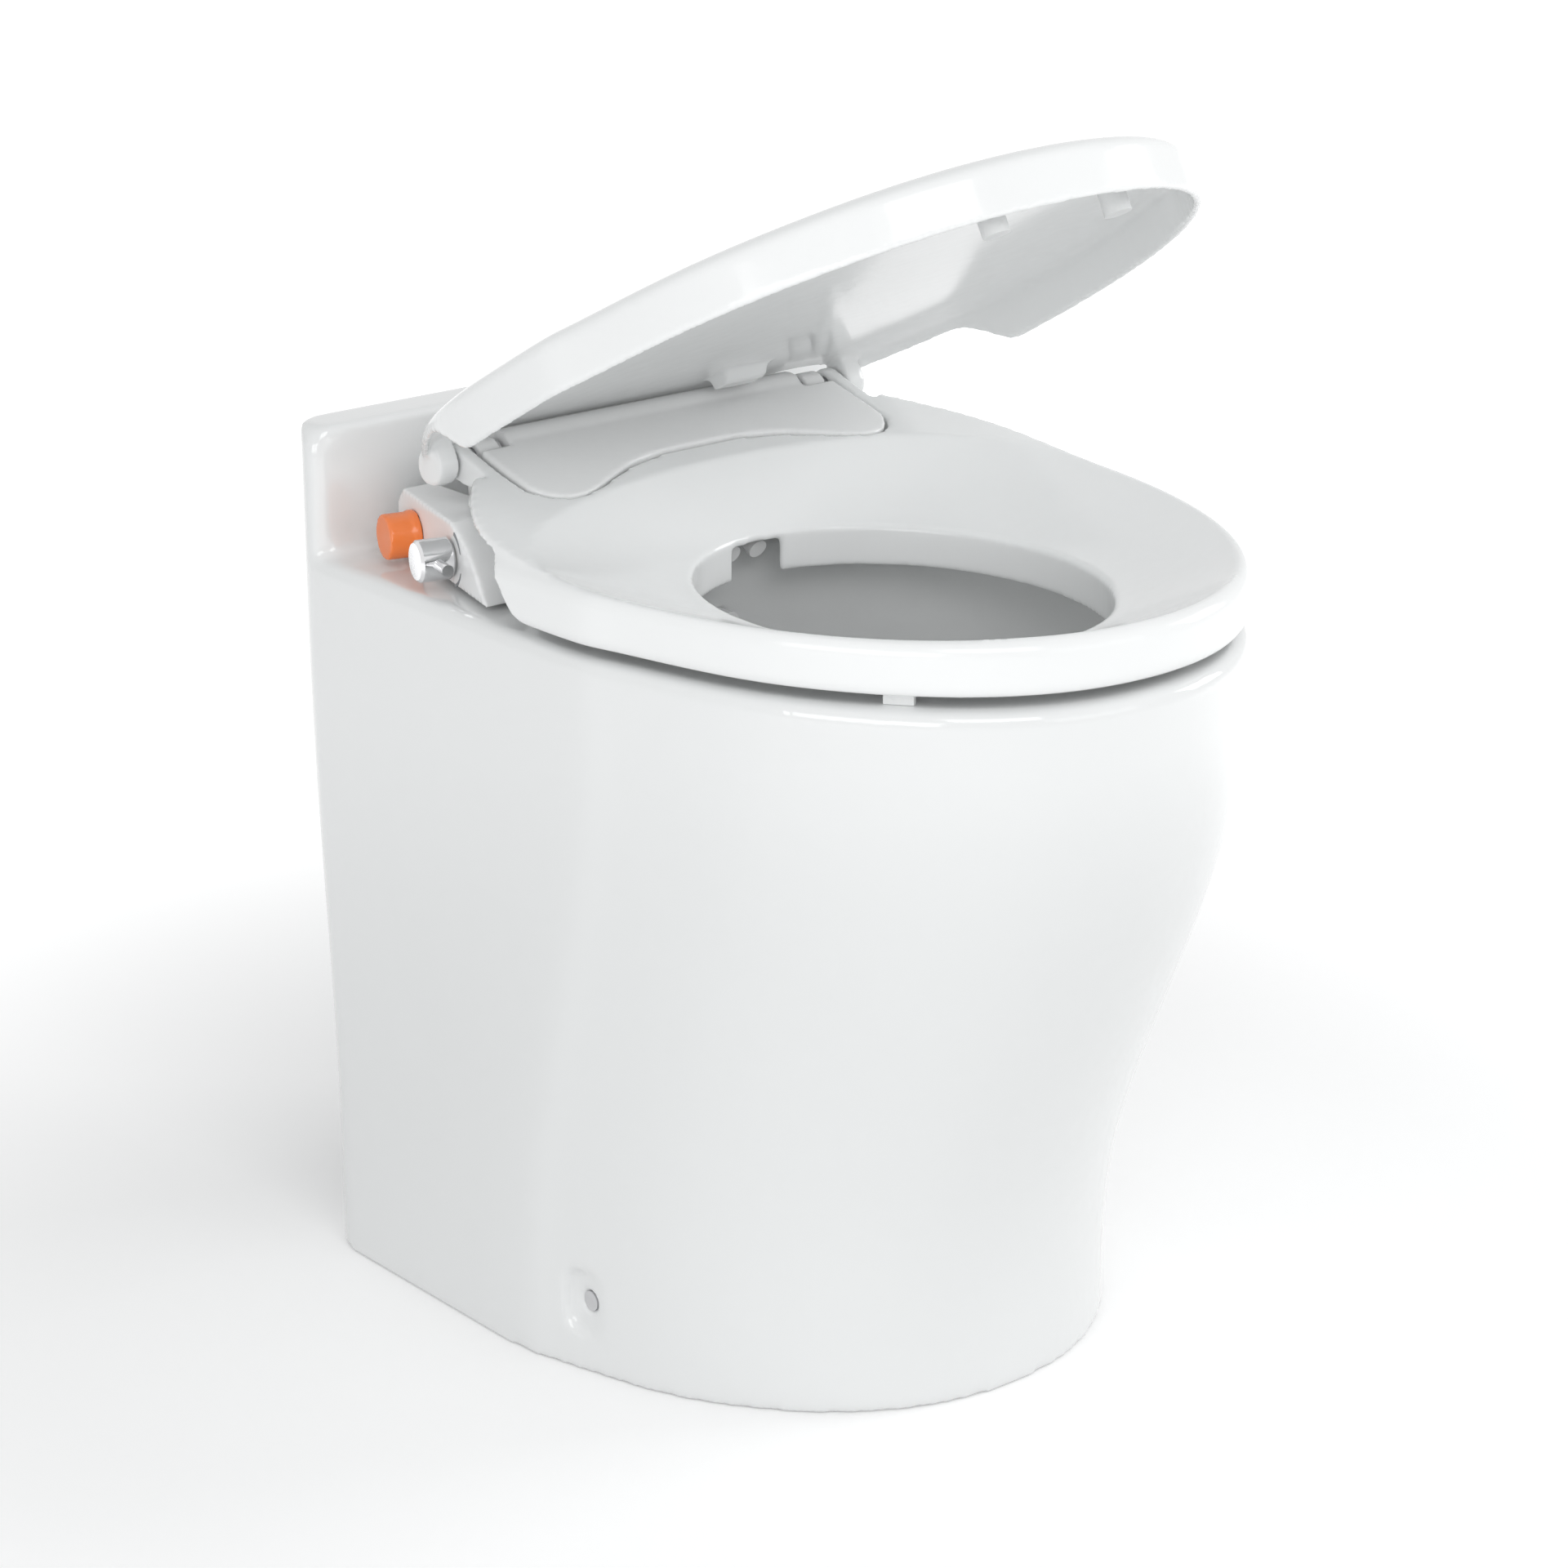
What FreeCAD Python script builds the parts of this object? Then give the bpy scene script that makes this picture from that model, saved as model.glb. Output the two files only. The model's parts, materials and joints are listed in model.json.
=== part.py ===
import FreeCAD, Part
import math
import os
from FreeCAD import Vector

# Compact macerator toilet with a bidet seat. All sizes are in millimetres and degrees.
# The front of the toilet faces -Y, the wall is at +Y, +Z is up, and the sitting user's right hand is at -X.
# The origin is on the floor, under the middle of the whole object.

# Ceramic pedestal
OVERALL_DEPTH = 480.0
RIM_HEIGHT = 410.0
RIM_HALF_WIDTH = 187.5
RIM_WAIST_Y = 40.0
FOOT_HALF_WIDTH = 178.0
FOOT_SETBACK = 94.0
FOOT_WAIST_Y = 100.0
FRONT_CURVE_LOW = 46.0
FRONT_CURVE_HIGH = 370.0
OUTLINE_FULLNESS = 2.1
PEDESTAL_CORNER_RADIUS = 28.0
CERAMIC_WALL = 12.0
RIM_ROUNDING = 7.0
LEDGE_HEIGHT = 78.0
LEDGE_DEPTH = 30.0
LEDGE_END_RADIUS = 24.0
LEDGE_EDGE_RADIUS = 10.0
DECK_COVE_RADIUS = 12.0
SERVICE_OPENING_HALF_WIDTH = 135.0
SERVICE_OPENING_LOW = 24.0
SERVICE_OPENING_HIGH = 372.0

# Bowl inside the pedestal
RIM_LAND = 34.0
BOWL_HALF_WIDTH = 132.0
BOWL_BACK_SETBACK = 144.0
BOWL_DEPTH = 290.0
BOWL_WALL = 10.0
SUMP_HALF_WIDTH = 38.0
SUMP_HALF_LENGTH = 44.0
SUMP_Y = -10.0
OUTLET_BORE_RADIUS = 31.0
OUTLET_WALL = 5.0
OUTLET_STEP = 2.0
SPOUT_SETBACK = 144.0

# Floor fixing
FIXING_Y = 11.0
FIXING_HEIGHT = 40.0
FIXING_RECESS_WIDTH = 28.0
FIXING_RECESS_HEIGHT = 39.0
FIXING_RECESS_DEPTH = 4.5
FIXING_SINK_DEPTH = 3.5
FIXING_SCREW_RADIUS = 3.5
FIXING_HEAD_RADIUS = 5.5
FIXING_HEAD_HEIGHT = 2.5
FIXING_HOLE_CLEARANCE = 1.5
BRACKET_GAP = 3.0
BRACKET_SHEET = 4.0
BRACKET_WIDTH = 40.0
BRACKET_FOOT = 44.0
BRACKET_TOP_MARGIN = 18.0
FLOOR_HOLE_RADIUS = 4.5

# Macerator pump and motor, on one shaft along X
SLEEVE_LAP = 13.0
SLEEVE_GAP = 4.0
SLEEVE_WALL = 4.0
CLAMP_WIDTH = 8.0
CLAMP_THICKNESS = 1.5
CLAMP_EDGE = 2.0
CHAMBER_RADIUS = 52.0
CHAMBER_WALL = 6.0
CHAMBER_LENGTH = 80.0
CHAMBER_BACK_WALL = 8.0
INLET_STUB = 18.0
CHAMBER_COVER_THICKNESS = 6.0
COVER_SCREW_COUNT = 6
COVER_SCREW_RADIUS = 1.8
COVER_SCREW_HEAD_RADIUS = 3.6
COVER_SCREW_HEAD_HEIGHT = 3.0
COVER_SCREW_BITE = 12.0
MOTOR_RADIUS = 40.0
MOTOR_LENGTH = 100.0
MOTOR_CAN_WALL = 3.0
MOTOR_END_THICKNESS = 8.0
BEARING_BOSS_LENGTH = 10.0
SHAFT_RADIUS = 6.0
SHAFT_NOSE = 24.0
RUNNING_CLEARANCE = 0.05
END_PLAY = 0.5
FRONT_BEARING_RADIUS = 13.0
BEARING_WIDTH = 9.0
REAR_BEARING_RADIUS = 11.0
BEARING_SEAT_WALL = 3.0
SEAL_RADIUS = 10.0
CORE_LENGTH = 60.0
ROTOR_RADIUS = 27.0
AIR_GAP = 1.0
IMPELLER_GAP = 3.0
IMPELLER_DISC = 3.0
IMPELLER_WIDTH = 16.0
IMPELLER_HUB_RADIUS = 11.0
VANE_COUNT = 5
VANE_THICKNESS = 3.0
CUTTER_WIDTH = 6.0
CUTTER_HUB_RADIUS = 10.0
CUTTER_BLADE_HEIGHT = 12.0
CUTTER_BLADE_COUNT = 4
CUTTER_START_X = 2.0

# Cradle under the pump
CRADLE_FOOT_HEIGHT = 12.0
CRADLE_FOOT_RADIUS = 9.0
CRADLE_SHEET = 3.0
CRADLE_SADDLE_THICKNESS = 6.0
CRADLE_DEPTH = 80.0
CRADLE_SADDLE_INSET = 34.0
CRADLE_END_MARGIN = 18.0

# Discharge
DISCHARGE_X = -20.0
DISCHARGE_BORE_RADIUS = 15.0
DISCHARGE_SPIGOT_RADIUS = 19.0
DISCHARGE_STUB_WALL = 5.0
DISCHARGE_STUB_HEIGHT = 12.0
ELBOW_SOCKET_WALL = 4.0
ELBOW_BEND_RADIUS = 30.0
ELBOW_RISE = 38.0
SPIGOT_END_GAP = 2.0
SPIGOT_BEAD_RADIUS = 21.0
SPIGOT_BEAD_WIDTH = 3.0
DUCKBILL_WALL = 2.0
DUCKBILL_LENGTH = 18.0
DUCKBILL_LIP = 3.0

# Carrier plate with the control box and the rinse valve
CARRIER_GAP = 17.0
CARRIER_SHEET = 3.0
CARRIER_HALF_WIDTH = 150.0
CARRIER_LOW = 232.0
CARRIER_HIGH = 366.0
LUG_INNER_X = 120.0
LUG_OUTER_X = 165.0
LUG_HEIGHT = 40.0
LUG_Z = 310.0
CARRIER_SCREW_X = 128.0
CARRIER_SCREW_SPACING = 22.0
CARRIER_SCREW_RADIUS = 2.5
CARRIER_SCREW_HEAD_RADIUS = 5.0
CARRIER_SCREW_HEAD_HEIGHT = 3.0
GROMMET_CLEARANCE = 1.0
CONTROL_BOX_X = -92.0
CONTROL_BOX_WIDTH = 76.0
CONTROL_BOX_DEPTH = 50.0
CONTROL_BOX_HEIGHT = 70.0
CONTROL_BOX_LOW = 285.0
CONTROL_BOX_WALL = 2.5
CONTROL_LID_THICKNESS = 4.0
MOTOR_LEAD_RADIUS = 3.0
VALVE_LEAD_RADIUS = 2.5
VALVE_X = 80.0
VALVE_SIZE = 36.0
VALVE_DEPTH = 32.0
VALVE_LOW = 292.0
VALVE_INLET_RADIUS = 13.2
VALVE_NECK_RADIUS = 14.5
VALVE_INLET_BORE = 8.0
VALVE_NUT_RADIUS = 20.0
NUT_SIDES = 6
VALVE_NUT_HEIGHT = 6.0
COIL_RADIUS = 16.0
COIL_HEIGHT = 36.0
COIL_FLOOR = 2.0
PLUNGER_RADIUS = 5.9
PLUNGER_LENGTH = 33.5
PLUNGER_CLEARANCE = 0.1
PLUNGER_ENTRY = 8.0
SPRING_LENGTH = 8.0
SPRING_RADIUS = 4.5
SPRING_BORE_RADIUS = 3.3
VALVE_OUTLET_RADIUS = 5.5
VALVE_OUTLET_BORE = 3.5
VALVE_OUTLET_HEIGHT = 15.0
HOSE_WALL = 2.5
HOSE_START_RISE = 2.0
HOSE_BEND_RADIUS = 24.0
RINSE_DROP = 43.0
RINSE_NOZZLE_RADIUS = 5.5
RINSE_FLANGE_RADIUS = 12.0
RINSE_FLANGE_THICKNESS = 3.0
RINSE_NOZZLE_TAIL = 30.0
RINSE_FLANGE_GAP = 0.5
RINSE_NOZZLE_BORE = 3.0
RINSE_TIP_LENGTH = 6.0

# Hinge line of the seat and the lid
HINGE_SETBACK = 49.0
HINGE_Z = 465.0
HINGE_PIN_RADIUS = 5.0
HINGE_PIN_END_GAP = 0.5
HINGE_HEAD_RADIUS = 7.0
HINGE_HEAD_THICKNESS = 2.5
TOWER_WIDTH = 14.0
TOWER_RADIUS = 9.5
TOWER_FRONT = 14.0
TOWER_BACK = 4.0
HINGE_SIDE_GAP = 2.0
SEAT_ARM_WIDTH = 9.0
LID_CHEEK_WIDTH = 12.0
LID_CHEEK_END_WALL = 4.0
LID_CHEEK_RADIUS = 11.5

# Bidet housing
MOUNT_PLATE_THICKNESS = 3.0
MOUNT_PLATE_HALF_WIDTH = 95.0
MOUNT_PLATE_FRONT = 30.0
MOUNT_PLATE_BACK = 28.0
SEAT_HOLE_SPACING = 155.0
SEAT_HOLE_RADIUS = 7.0
MOUNT_BOLT_RADIUS = 5.0
MOUNT_BOLT_HEAD_RADIUS = 9.0
MOUNT_BOLT_HEAD_HEIGHT = 5.0
MOUNT_BOLT_TAIL = 22.0
MOUNT_NUT_RADIUS = 12.0
MOUNT_NUT_HEIGHT = 8.0
MOUNT_HEAD_CLEARANCE = 1.0
HOUSING_FLOOR = 3.0
HOUSING_WALL = 3.0
HOUSING_BACK_GAP = 12.0
HOUSING_REACH = 89.0
HOUSING_MIDDLE_REACH = 61.0
POD_INNER_X = 124.0
POD_ROOF_DROP = 19.0
POD_KNEE_RUN = 12.5
POD_KNEE_RISE = 13.2
POD_BROW_RUN = 27.5
POD_BROW_DROP = 8.0
POD_ROOF_RUN = 46.0
POD_BACK_CHAMFER = 8.0
NOSE_LENGTH = 15.0
NOSE_INNER_X = 154.0
NOSE_KNEE_RUN = 3.0
NOSE_KNEE_RISE = 21.0
NOSE_BROW_RUN = 17.0
NOSE_BROW_DROP = 4.5
PANEL_FLARE = 15.0
PANEL_X = -163.0
COVER_HALF_WIDTH = 122.0
COVER_MIDDLE_REACH = 45.0
COVER_HALFWAY_REACH = 52.0
COVER_LOBE_REACH = 69.0
COVER_END_REACH = 54.0
COVER_LOBE_X = 110.0
COVER_TOP_FRONT_DROP = 8.5
COVER_TOP_BACK_RISE = 10.0
COVER_BACK_GAP = 12.0
COVER_WALL = 3.0
COVER_ROLL_RADIUS = 12.0
COVER_WEB_LAP = 9.0
COVER_WEB_THICKNESS = 9.0
SWING_GAP = 1.5

# Control knob and water inlet, square to the flared side panel
KNOB_AHEAD = 41.0
KNOB_Z = 427.0
KNOB_RADIUS = 11.25
KNOB_LENGTH = 19.0
KNOB_GAP = 1.0
KNOB_ROUNDING = 1.5
POINTER_LENGTH = 12.0
POINTER_RADIUS = 3.2
SPINDLE_RADIUS = 4.0
SPINDLE_IN_KNOB = 14.0
SPINDLE_IN_VALVE = 14.0
MIXER_RADIUS = 11.0
MIXER_LENGTH = 24.0
INLET_BEHIND = 11.0
INLET_Z = 426.0
INLET_THREAD_RADIUS = 10.5
INLET_BORE_RADIUS = 6.0
INLET_THREAD_LENGTH = 15.0
INLET_FLANGE_RADIUS = 13.0
INLET_FLANGE_THICKNESS = 4.0
CAP_WALL = 1.8
CAP_END = 3.0
CAP_RIM_WIDTH = 4.0
CAP_RIM_WALL = 0.8

# Wash nozzles
NOZZLE_REACH = 83.0
NOZZLE_TIP_DROP = 1.0
NOZZLE_TILT = 25.0
NOZZLE_X = 9.0
NOZZLE_RADIUS = 5.5
NOZZLE_LENGTH = 80.0
NOZZLE_COLLAR_RADIUS = 6.8
NOZZLE_COLLAR_LENGTH = 4.0
GUIDE_START = 8.0
GUIDE_LENGTH = 27.0
GUIDE_HALF_WIDTH = 19.5
GUIDE_HALF_HEIGHT = 9.0
GUIDE_ROOM_BELOW = 40.0

# Seat ring
SEAT_GAP = 6.0
SEAT_EDGE_HEIGHT = 29.0
SEAT_UNDER_ROUNDING = 5.0
SEAT_HALF_WIDTH = 187.5
SEAT_TIP_SETBACK = 1.0
SEAT_WAIST_Y = 40.0
SEAT_BACK_AHEAD = 23.0
SEAT_BACK_HALF_WIDTH = 152.0
SEAT_SIDE_HOLD = 0.5
SEAT_EDGE_RADIUS = 8.0
SEAT_WING_INSET = 12.0
SEAT_WING_RISE = 3.0
SEAT_RISE_START_Y = -30.0
SEAT_HOLE_HALF_WIDTH = 100.0
SEAT_HOLE_AHEAD = 92.0
SEAT_HOLE_SETBACK = 72.0
SEAT_LIP_HEIGHT = 4.0
SEAT_LIP_DROP = 13.0
SEAT_LIP_NOTCH = 17.0
SEAT_DISH_SIDE = 80.0
SEAT_DISH_FRONT = 64.0
SEAT_DISH_BACK = 20.0
SEAT_DISH_SHIFT = 45.0
SEAT_DISH_CURVE = 1.25
SEAT_SKIN = 4.0
SEAT_POD_GAP = 4.0
SEAT_POCKET_AHEAD = 139.0
SEAT_POCKET_RUN = 48.0
SEAT_POCKET_RISE = 32.0
SEAT_POCKET_BACK_RISE = 10.0
SEAT_ARM_SINK = 1.0
SEAT_BUMPER_RADIUS = 8.0
SEAT_BUMPER_CLEARANCE = 0.2
SEAT_BUMPER_SIDE_Y = 5.0
SEAT_BUMPER_SIDE_INSET = 38.0
SEAT_BUMPER_FRONT_X = 110.0
SEAT_BUMPER_FRONT_INSET = 18.0

# Lid, drawn closed and then opened to its rest angle
LID_REST_ANGLE = 29.7
LID_GAP = 4.0
LID_HALF_WIDTH = 190.0
LID_TIP_SETBACK = 11.0
LID_WAIST_Y = 38.0
LID_BACK_OVERHANG = 3.0
LID_SIDE_HOLD = 0.5
LID_WALL = 4.0
LID_SKIRT = 23.0
LID_DOME_RISE = 10.0
LID_DOME_INSET = 30.0
LID_NOTCH_AHEAD = 97.0
LID_NOTCH_RISE = 20.0
LID_NOTCH_SLOPE = 31.0
LID_LOBE_RADIUS = 14.0
LID_ARCH_RADIUS = 24.0
LID_TAIL_HALF_WIDTH = 100.0
LID_TAIL_LENGTH = 12.0
LID_LUG_X = 52.0
LID_LUG_WIDTH = 30.0
LID_LUG_DEPTH = 20.0
LID_LUG_HEIGHT = 7.0
LID_LUG_SETBACK = 15.0
LID_LUG_BITE = 1.0
LID_BUMPER_X = 40.0
LID_BUMPER_INSET = 26.0
LID_BUMPER_RADIUS = 7.0
LID_BUMPER_CLEARANCE = 0.3

# Places worked out from the sizes above
FRONT_Y = -OVERALL_DEPTH / 2
BACK_Y = OVERALL_DEPTH / 2
FOOT_TIP_Y = FRONT_Y + FOOT_SETBACK
LEDGE_FRONT_Y = BACK_Y - LEDGE_DEPTH
LEDGE_TOP = RIM_HEIGHT + LEDGE_HEIGHT
DECK_UNDERSIDE = RIM_HEIGHT - CERAMIC_WALL
BACK_WALL_Y = BACK_Y - CERAMIC_WALL
BOWL_FRONT_Y = FRONT_Y + RIM_LAND
BOWL_BACK_Y = BACK_Y - BOWL_BACK_SETBACK
BOWL_FLOOR = RIM_HEIGHT - BOWL_DEPTH
OUTLET_Z = BOWL_FLOOR + OUTLET_BORE_RADIUS + OUTLET_STEP
SPOUT_RADIUS = OUTLET_BORE_RADIUS + OUTLET_WALL
SPOUT_END_Y = BACK_Y - SPOUT_SETBACK
INLET_END_Y = SPOUT_END_Y + SLEEVE_GAP
SLEEVE_START_Y = SPOUT_END_Y - SLEEVE_LAP
SLEEVE_END_Y = INLET_END_Y + SLEEVE_LAP
PUMP_Y = INLET_END_Y + INLET_STUB + CHAMBER_RADIUS
PUMP_Z = OUTLET_Z
CHAMBER_BACK_X = -CHAMBER_LENGTH / 2
CHAMBER_FRONT_X = CHAMBER_LENGTH / 2
CHAMBER_BORE_RADIUS = CHAMBER_RADIUS - CHAMBER_WALL
MOTOR_FRONT_X = CHAMBER_BACK_X - BEARING_BOSS_LENGTH
MOTOR_BACK_X = MOTOR_FRONT_X - MOTOR_LENGTH
MOTOR_BORE_RADIUS = MOTOR_RADIUS - MOTOR_CAN_WALL
CORE_START_X = MOTOR_BACK_X + (MOTOR_LENGTH - CORE_LENGTH) / 2
CRADLE_TOP = CRADLE_FOOT_HEIGHT + CRADLE_SHEET
DISCHARGE_STUB_RADIUS = DISCHARGE_BORE_RADIUS + DISCHARGE_STUB_WALL
DISCHARGE_STUB_TOP = PUMP_Z + CHAMBER_RADIUS + DISCHARGE_STUB_HEIGHT
SPIGOT_Z = DISCHARGE_STUB_TOP + ELBOW_RISE
SPIGOT_END_Y = BACK_Y - SPIGOT_END_GAP
CARRIER_BACK_Y = BACK_WALL_Y - CARRIER_GAP
CARRIER_FRONT_Y = CARRIER_BACK_Y - CARRIER_SHEET
VALVE_Y = CARRIER_FRONT_Y - VALVE_DEPTH / 2
VALVE_TOP = VALVE_LOW + VALVE_SIZE
COIL_LOW = VALVE_LOW - COIL_HEIGHT
PLUNGER_LOW = COIL_LOW + COIL_FLOOR + SPRING_LENGTH
PLUNGER_BORE_RADIUS = PLUNGER_RADIUS + PLUNGER_CLEARANCE
RINSE_Z = RIM_HEIGHT - RINSE_DROP
HINGE_Y = LEDGE_FRONT_Y - HINGE_SETBACK
TOWER_OUTER_X = COVER_HALF_WIDTH - HINGE_SIDE_GAP
SEAT_ARM_X = COVER_HALF_WIDTH + HINGE_SIDE_GAP
LID_CHEEK_X = SEAT_ARM_X + SEAT_ARM_WIDTH + HINGE_SIDE_GAP
LID_BACK_HALF_WIDTH = LID_CHEEK_X + LID_CHEEK_WIDTH
LID_BACK_Y = HINGE_Y + LID_BACK_OVERHANG
HINGE_BORE_END_X = LID_BACK_HALF_WIDTH - LID_CHEEK_END_WALL
HINGE_PIN_OUTER_X = HINGE_BORE_END_X - HINGE_PIN_END_GAP
HINGE_PIN_INNER_X = TOWER_OUTER_X - TOWER_WIDTH - HINGE_HEAD_THICKNESS
HINGE_BORE_RADIUS = HINGE_PIN_RADIUS + RUNNING_CLEARANCE
MOUNT_PLATE_TOP = RIM_HEIGHT + MOUNT_PLATE_THICKNESS
HOUSING_FLOOR_TOP = MOUNT_PLATE_TOP + HOUSING_FLOOR
HOUSING_FRONT_Y = HINGE_Y - HOUSING_REACH
HOUSING_MIDDLE_Y = HINGE_Y - HOUSING_MIDDLE_REACH
HOUSING_BACK_Y = LEDGE_FRONT_Y - HOUSING_BACK_GAP
NOSE_FRONT_Y = HOUSING_FRONT_Y - NOSE_LENGTH
POD_BENDS = (POD_KNEE_RUN, POD_KNEE_RISE, POD_BROW_RUN, POD_BROW_DROP)
NOSE_BENDS = (NOSE_KNEE_RUN, NOSE_KNEE_RISE, NOSE_BROW_RUN, NOSE_BROW_DROP)
KNOB_Y = HINGE_Y - KNOB_AHEAD
INLET_Y = HINGE_Y + INLET_BEHIND
NOZZLE_TIP_Y = HINGE_Y - NOZZLE_REACH
NOZZLE_TIP_Z = RIM_HEIGHT - NOZZLE_TIP_DROP
POD_ROOF = HINGE_Z - POD_ROOF_DROP
SEAT_LOW = RIM_HEIGHT + SEAT_GAP
SEAT_TOP = SEAT_LOW + SEAT_EDGE_HEIGHT
SEAT_TIP_Y = FRONT_Y + SEAT_TIP_SETBACK
SEAT_BACK_Y = HINGE_Y - SEAT_BACK_AHEAD
SEAT_HOLE_BACK_Y = HINGE_Y - SEAT_HOLE_AHEAD
SEAT_HOLE_FRONT_Y = FRONT_Y + SEAT_HOLE_SETBACK
SEAT_HOLE_MIDDLE_Y = (SEAT_HOLE_FRONT_Y + SEAT_HOLE_BACK_Y) / 2
SEAT_LIP_TOP = SEAT_LOW + SEAT_LIP_HEIGHT
SEAT_WING_TOP = HINGE_Z + SEAT_WING_RISE
LID_LOW = SEAT_TOP + LID_GAP
LID_TIP_Y = FRONT_Y + LID_TIP_SETBACK
LID_CEILING = LID_LOW + LID_SKIRT + LID_DOME_RISE - LID_WALL
PANEL_OUT = Vector(-math.cos(math.radians(PANEL_FLARE)), math.sin(math.radians(PANEL_FLARE)), 0)
NOZZLE_BACK = Vector(0, math.cos(math.radians(NOZZLE_TILT)), math.sin(math.radians(NOZZLE_TILT)))
NOZZLE_UP = Vector(0, -math.sin(math.radians(NOZZLE_TILT)), math.cos(math.radians(NOZZLE_TILT)))

# Directions and drawing aids
X_AXIS = Vector(1, 0, 0)
Y_AXIS = Vector(0, 1, 0)
Z_AXIS = Vector(0, 0, 1)
ORIGIN = Vector(0, 0, 0)
FULL_TURN = 360.0
FRONT_STEPS = 12
PEDESTAL_STEPS = 6
BOWL_STEPS = 5
ROUND_STEPS = 6
TOUCH = 0.01
EGG_STEPS = 24
DISH_STEPS = 5
DISH_RUN_OUT = 1.8
DRAW_IN_RUN = 0.75
DRAW_IN_WIDTH = 0.45
PAST = 5.0
FAR = 600.0


def mix(start, end, share):
    return start + (end - start) * share


def ease(share):
    held = min(max(share, 0.0), 1.0)
    return held * held * (3 - 2 * held)


def box(x, y, z):
    size = [side[1] - side[0] for side in (x, y, z)]
    return Part.makeBox(size[0], size[1], size[2], Vector(x[0], y[0], z[0]))


def rod(radius, start, along, length):
    return Part.makeCylinder(radius, length, start, along)


def tube(radius, bore, start, along, length):
    return rod(radius, start, along, length).cut(rod(bore, start, along, length))


def prism(points, along):
    return Part.Face(Part.makePolygon(points + [points[0]])).extrude(along)


def other_side(shape):
    return shape.mirror(ORIGIN, X_AXIS)


def both_sides(shape):
    return Part.makeCompound([shape, other_side(shape)])


def line(start, end):
    return Part.LineSegment(start, end).toShape()


def arc(start, middle, end):
    return Part.Arc(start, middle, end).toShape()


def corner_arc(start, corner, end):
    # quarter circle from start to end, round the square corner between them
    centre = start + end - corner
    radius = (start - centre).Length
    towards = corner - centre
    towards.normalize()
    return arc(start, centre + towards * radius, end)


def front_curve(half_width, tip_y, waist_y, z):
    # half of a rounded egg, from the +X side round the tip to the -X side
    power = 2 / OUTLINE_FULLNESS
    points = []
    for step in range(FRONT_STEPS + 1):
        angle = math.pi * step / FRONT_STEPS
        across = math.copysign(abs(math.cos(angle)) ** power, math.cos(angle))
        along = abs(math.sin(angle)) ** power
        points.append(Vector(half_width * across, waist_y - (waist_y - tip_y) * along, z))
    curve = Part.BSplineCurve()
    curve.interpolate(Points=points, InitialTangent=Vector(0, -1, 0), FinalTangent=Vector(0, 1, 0))
    return curve.toShape()


def ellipse_wire(half_width, half_length, middle_y, z):
    middle = Vector(0, middle_y, z)
    ellipse = Part.Ellipse(middle + Y_AXIS * half_length, middle + X_AXIS * half_width, middle)
    return Part.Wire(ellipse.toShape())


def loft(wires):
    return Part.makeLoft(wires, True, False)


def straight_loft(wires):
    return Part.makeLoft(wires, True, True)


def rounded_steps(low, inset, rise):
    # (inset, height) pairs of a quarter ellipse that leans in from a wall to a level top
    steps = []
    for step in range(ROUND_STEPS + 1):
        angle = math.pi / 2 * step / ROUND_STEPS
        steps.append((inset * (1 - math.cos(angle)), low + rise * math.sin(angle)))
    return steps


def edges_at_height(shape, z):
    found = []
    for edge in shape.Edges:
        limits = edge.BoundBox
        if abs(limits.ZMin - z) < TOUCH and abs(limits.ZMax - z) < TOUCH:
            found.append(edge)
    return found


def bent_path(points, bend_radius):
    # straight runs between the points, with an arc of one radius at each inner point
    edges = []
    last = points[0]
    for index in range(1, len(points) - 1):
        corner = points[index]
        back = (points[index - 1] - corner).normalize()
        ahead = (points[index + 1] - corner).normalize()
        half_angle = back.getAngle(ahead) / 2
        setback = bend_radius / math.tan(half_angle)
        middle = (back + ahead).normalize() * (bend_radius / math.sin(half_angle) - bend_radius)
        start = corner + back * setback
        end = corner + ahead * setback
        edges.append(line(last, start))
        edges.append(arc(start, corner + middle, end))
        last = end
    edges.append(line(last, points[-1]))
    return Part.Wire(edges)


def bent_rod(points, bend_radius, radius):
    heading = points[1] - points[0]
    section = Part.Wire(Part.makeCircle(radius, points[0], heading))
    return bent_path(points, bend_radius).makePipeShell([section], True, False)


def on_shaft(x):
    return Vector(x, PUMP_Y, PUMP_Z)


# Ceramic pedestal


def pedestal_plan(z):
    rise = ease((z - FRONT_CURVE_LOW) / (FRONT_CURVE_HIGH - FRONT_CURVE_LOW))
    half_width = mix(FOOT_HALF_WIDTH, RIM_HALF_WIDTH, rise)
    tip_y = mix(FOOT_TIP_Y, FRONT_Y, rise)
    waist_y = mix(FOOT_WAIST_Y, RIM_WAIST_Y, rise)
    return half_width, tip_y, waist_y


def pedestal_side_x(y, z):
    half_width, tip_y, waist_y = pedestal_plan(z)
    share = (waist_y - y) / (waist_y - tip_y)
    return half_width * (1 - share ** OUTLINE_FULLNESS) ** (1 / OUTLINE_FULLNESS)


def pedestal_outline(z, inset):
    half_width, tip_y, waist_y = pedestal_plan(z)
    side = half_width - inset
    back = BACK_Y - inset
    radius = PEDESTAL_CORNER_RADIUS - inset
    edges = [front_curve(side, tip_y + inset, waist_y, z)]
    edges.append(line(Vector(-side, waist_y, z), Vector(-side, back - radius, z)))
    left_end = Vector(-side + radius, back, z)
    edges.append(corner_arc(Vector(-side, back - radius, z), Vector(-side, back, z), left_end))
    edges.append(line(left_end, Vector(side - radius, back, z)))
    right_end = Vector(side, back - radius, z)
    edges.append(corner_arc(Vector(side - radius, back, z), Vector(side, back, z), right_end))
    edges.append(line(right_end, Vector(side, waist_y, z)))
    return Part.Wire(edges)


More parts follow.
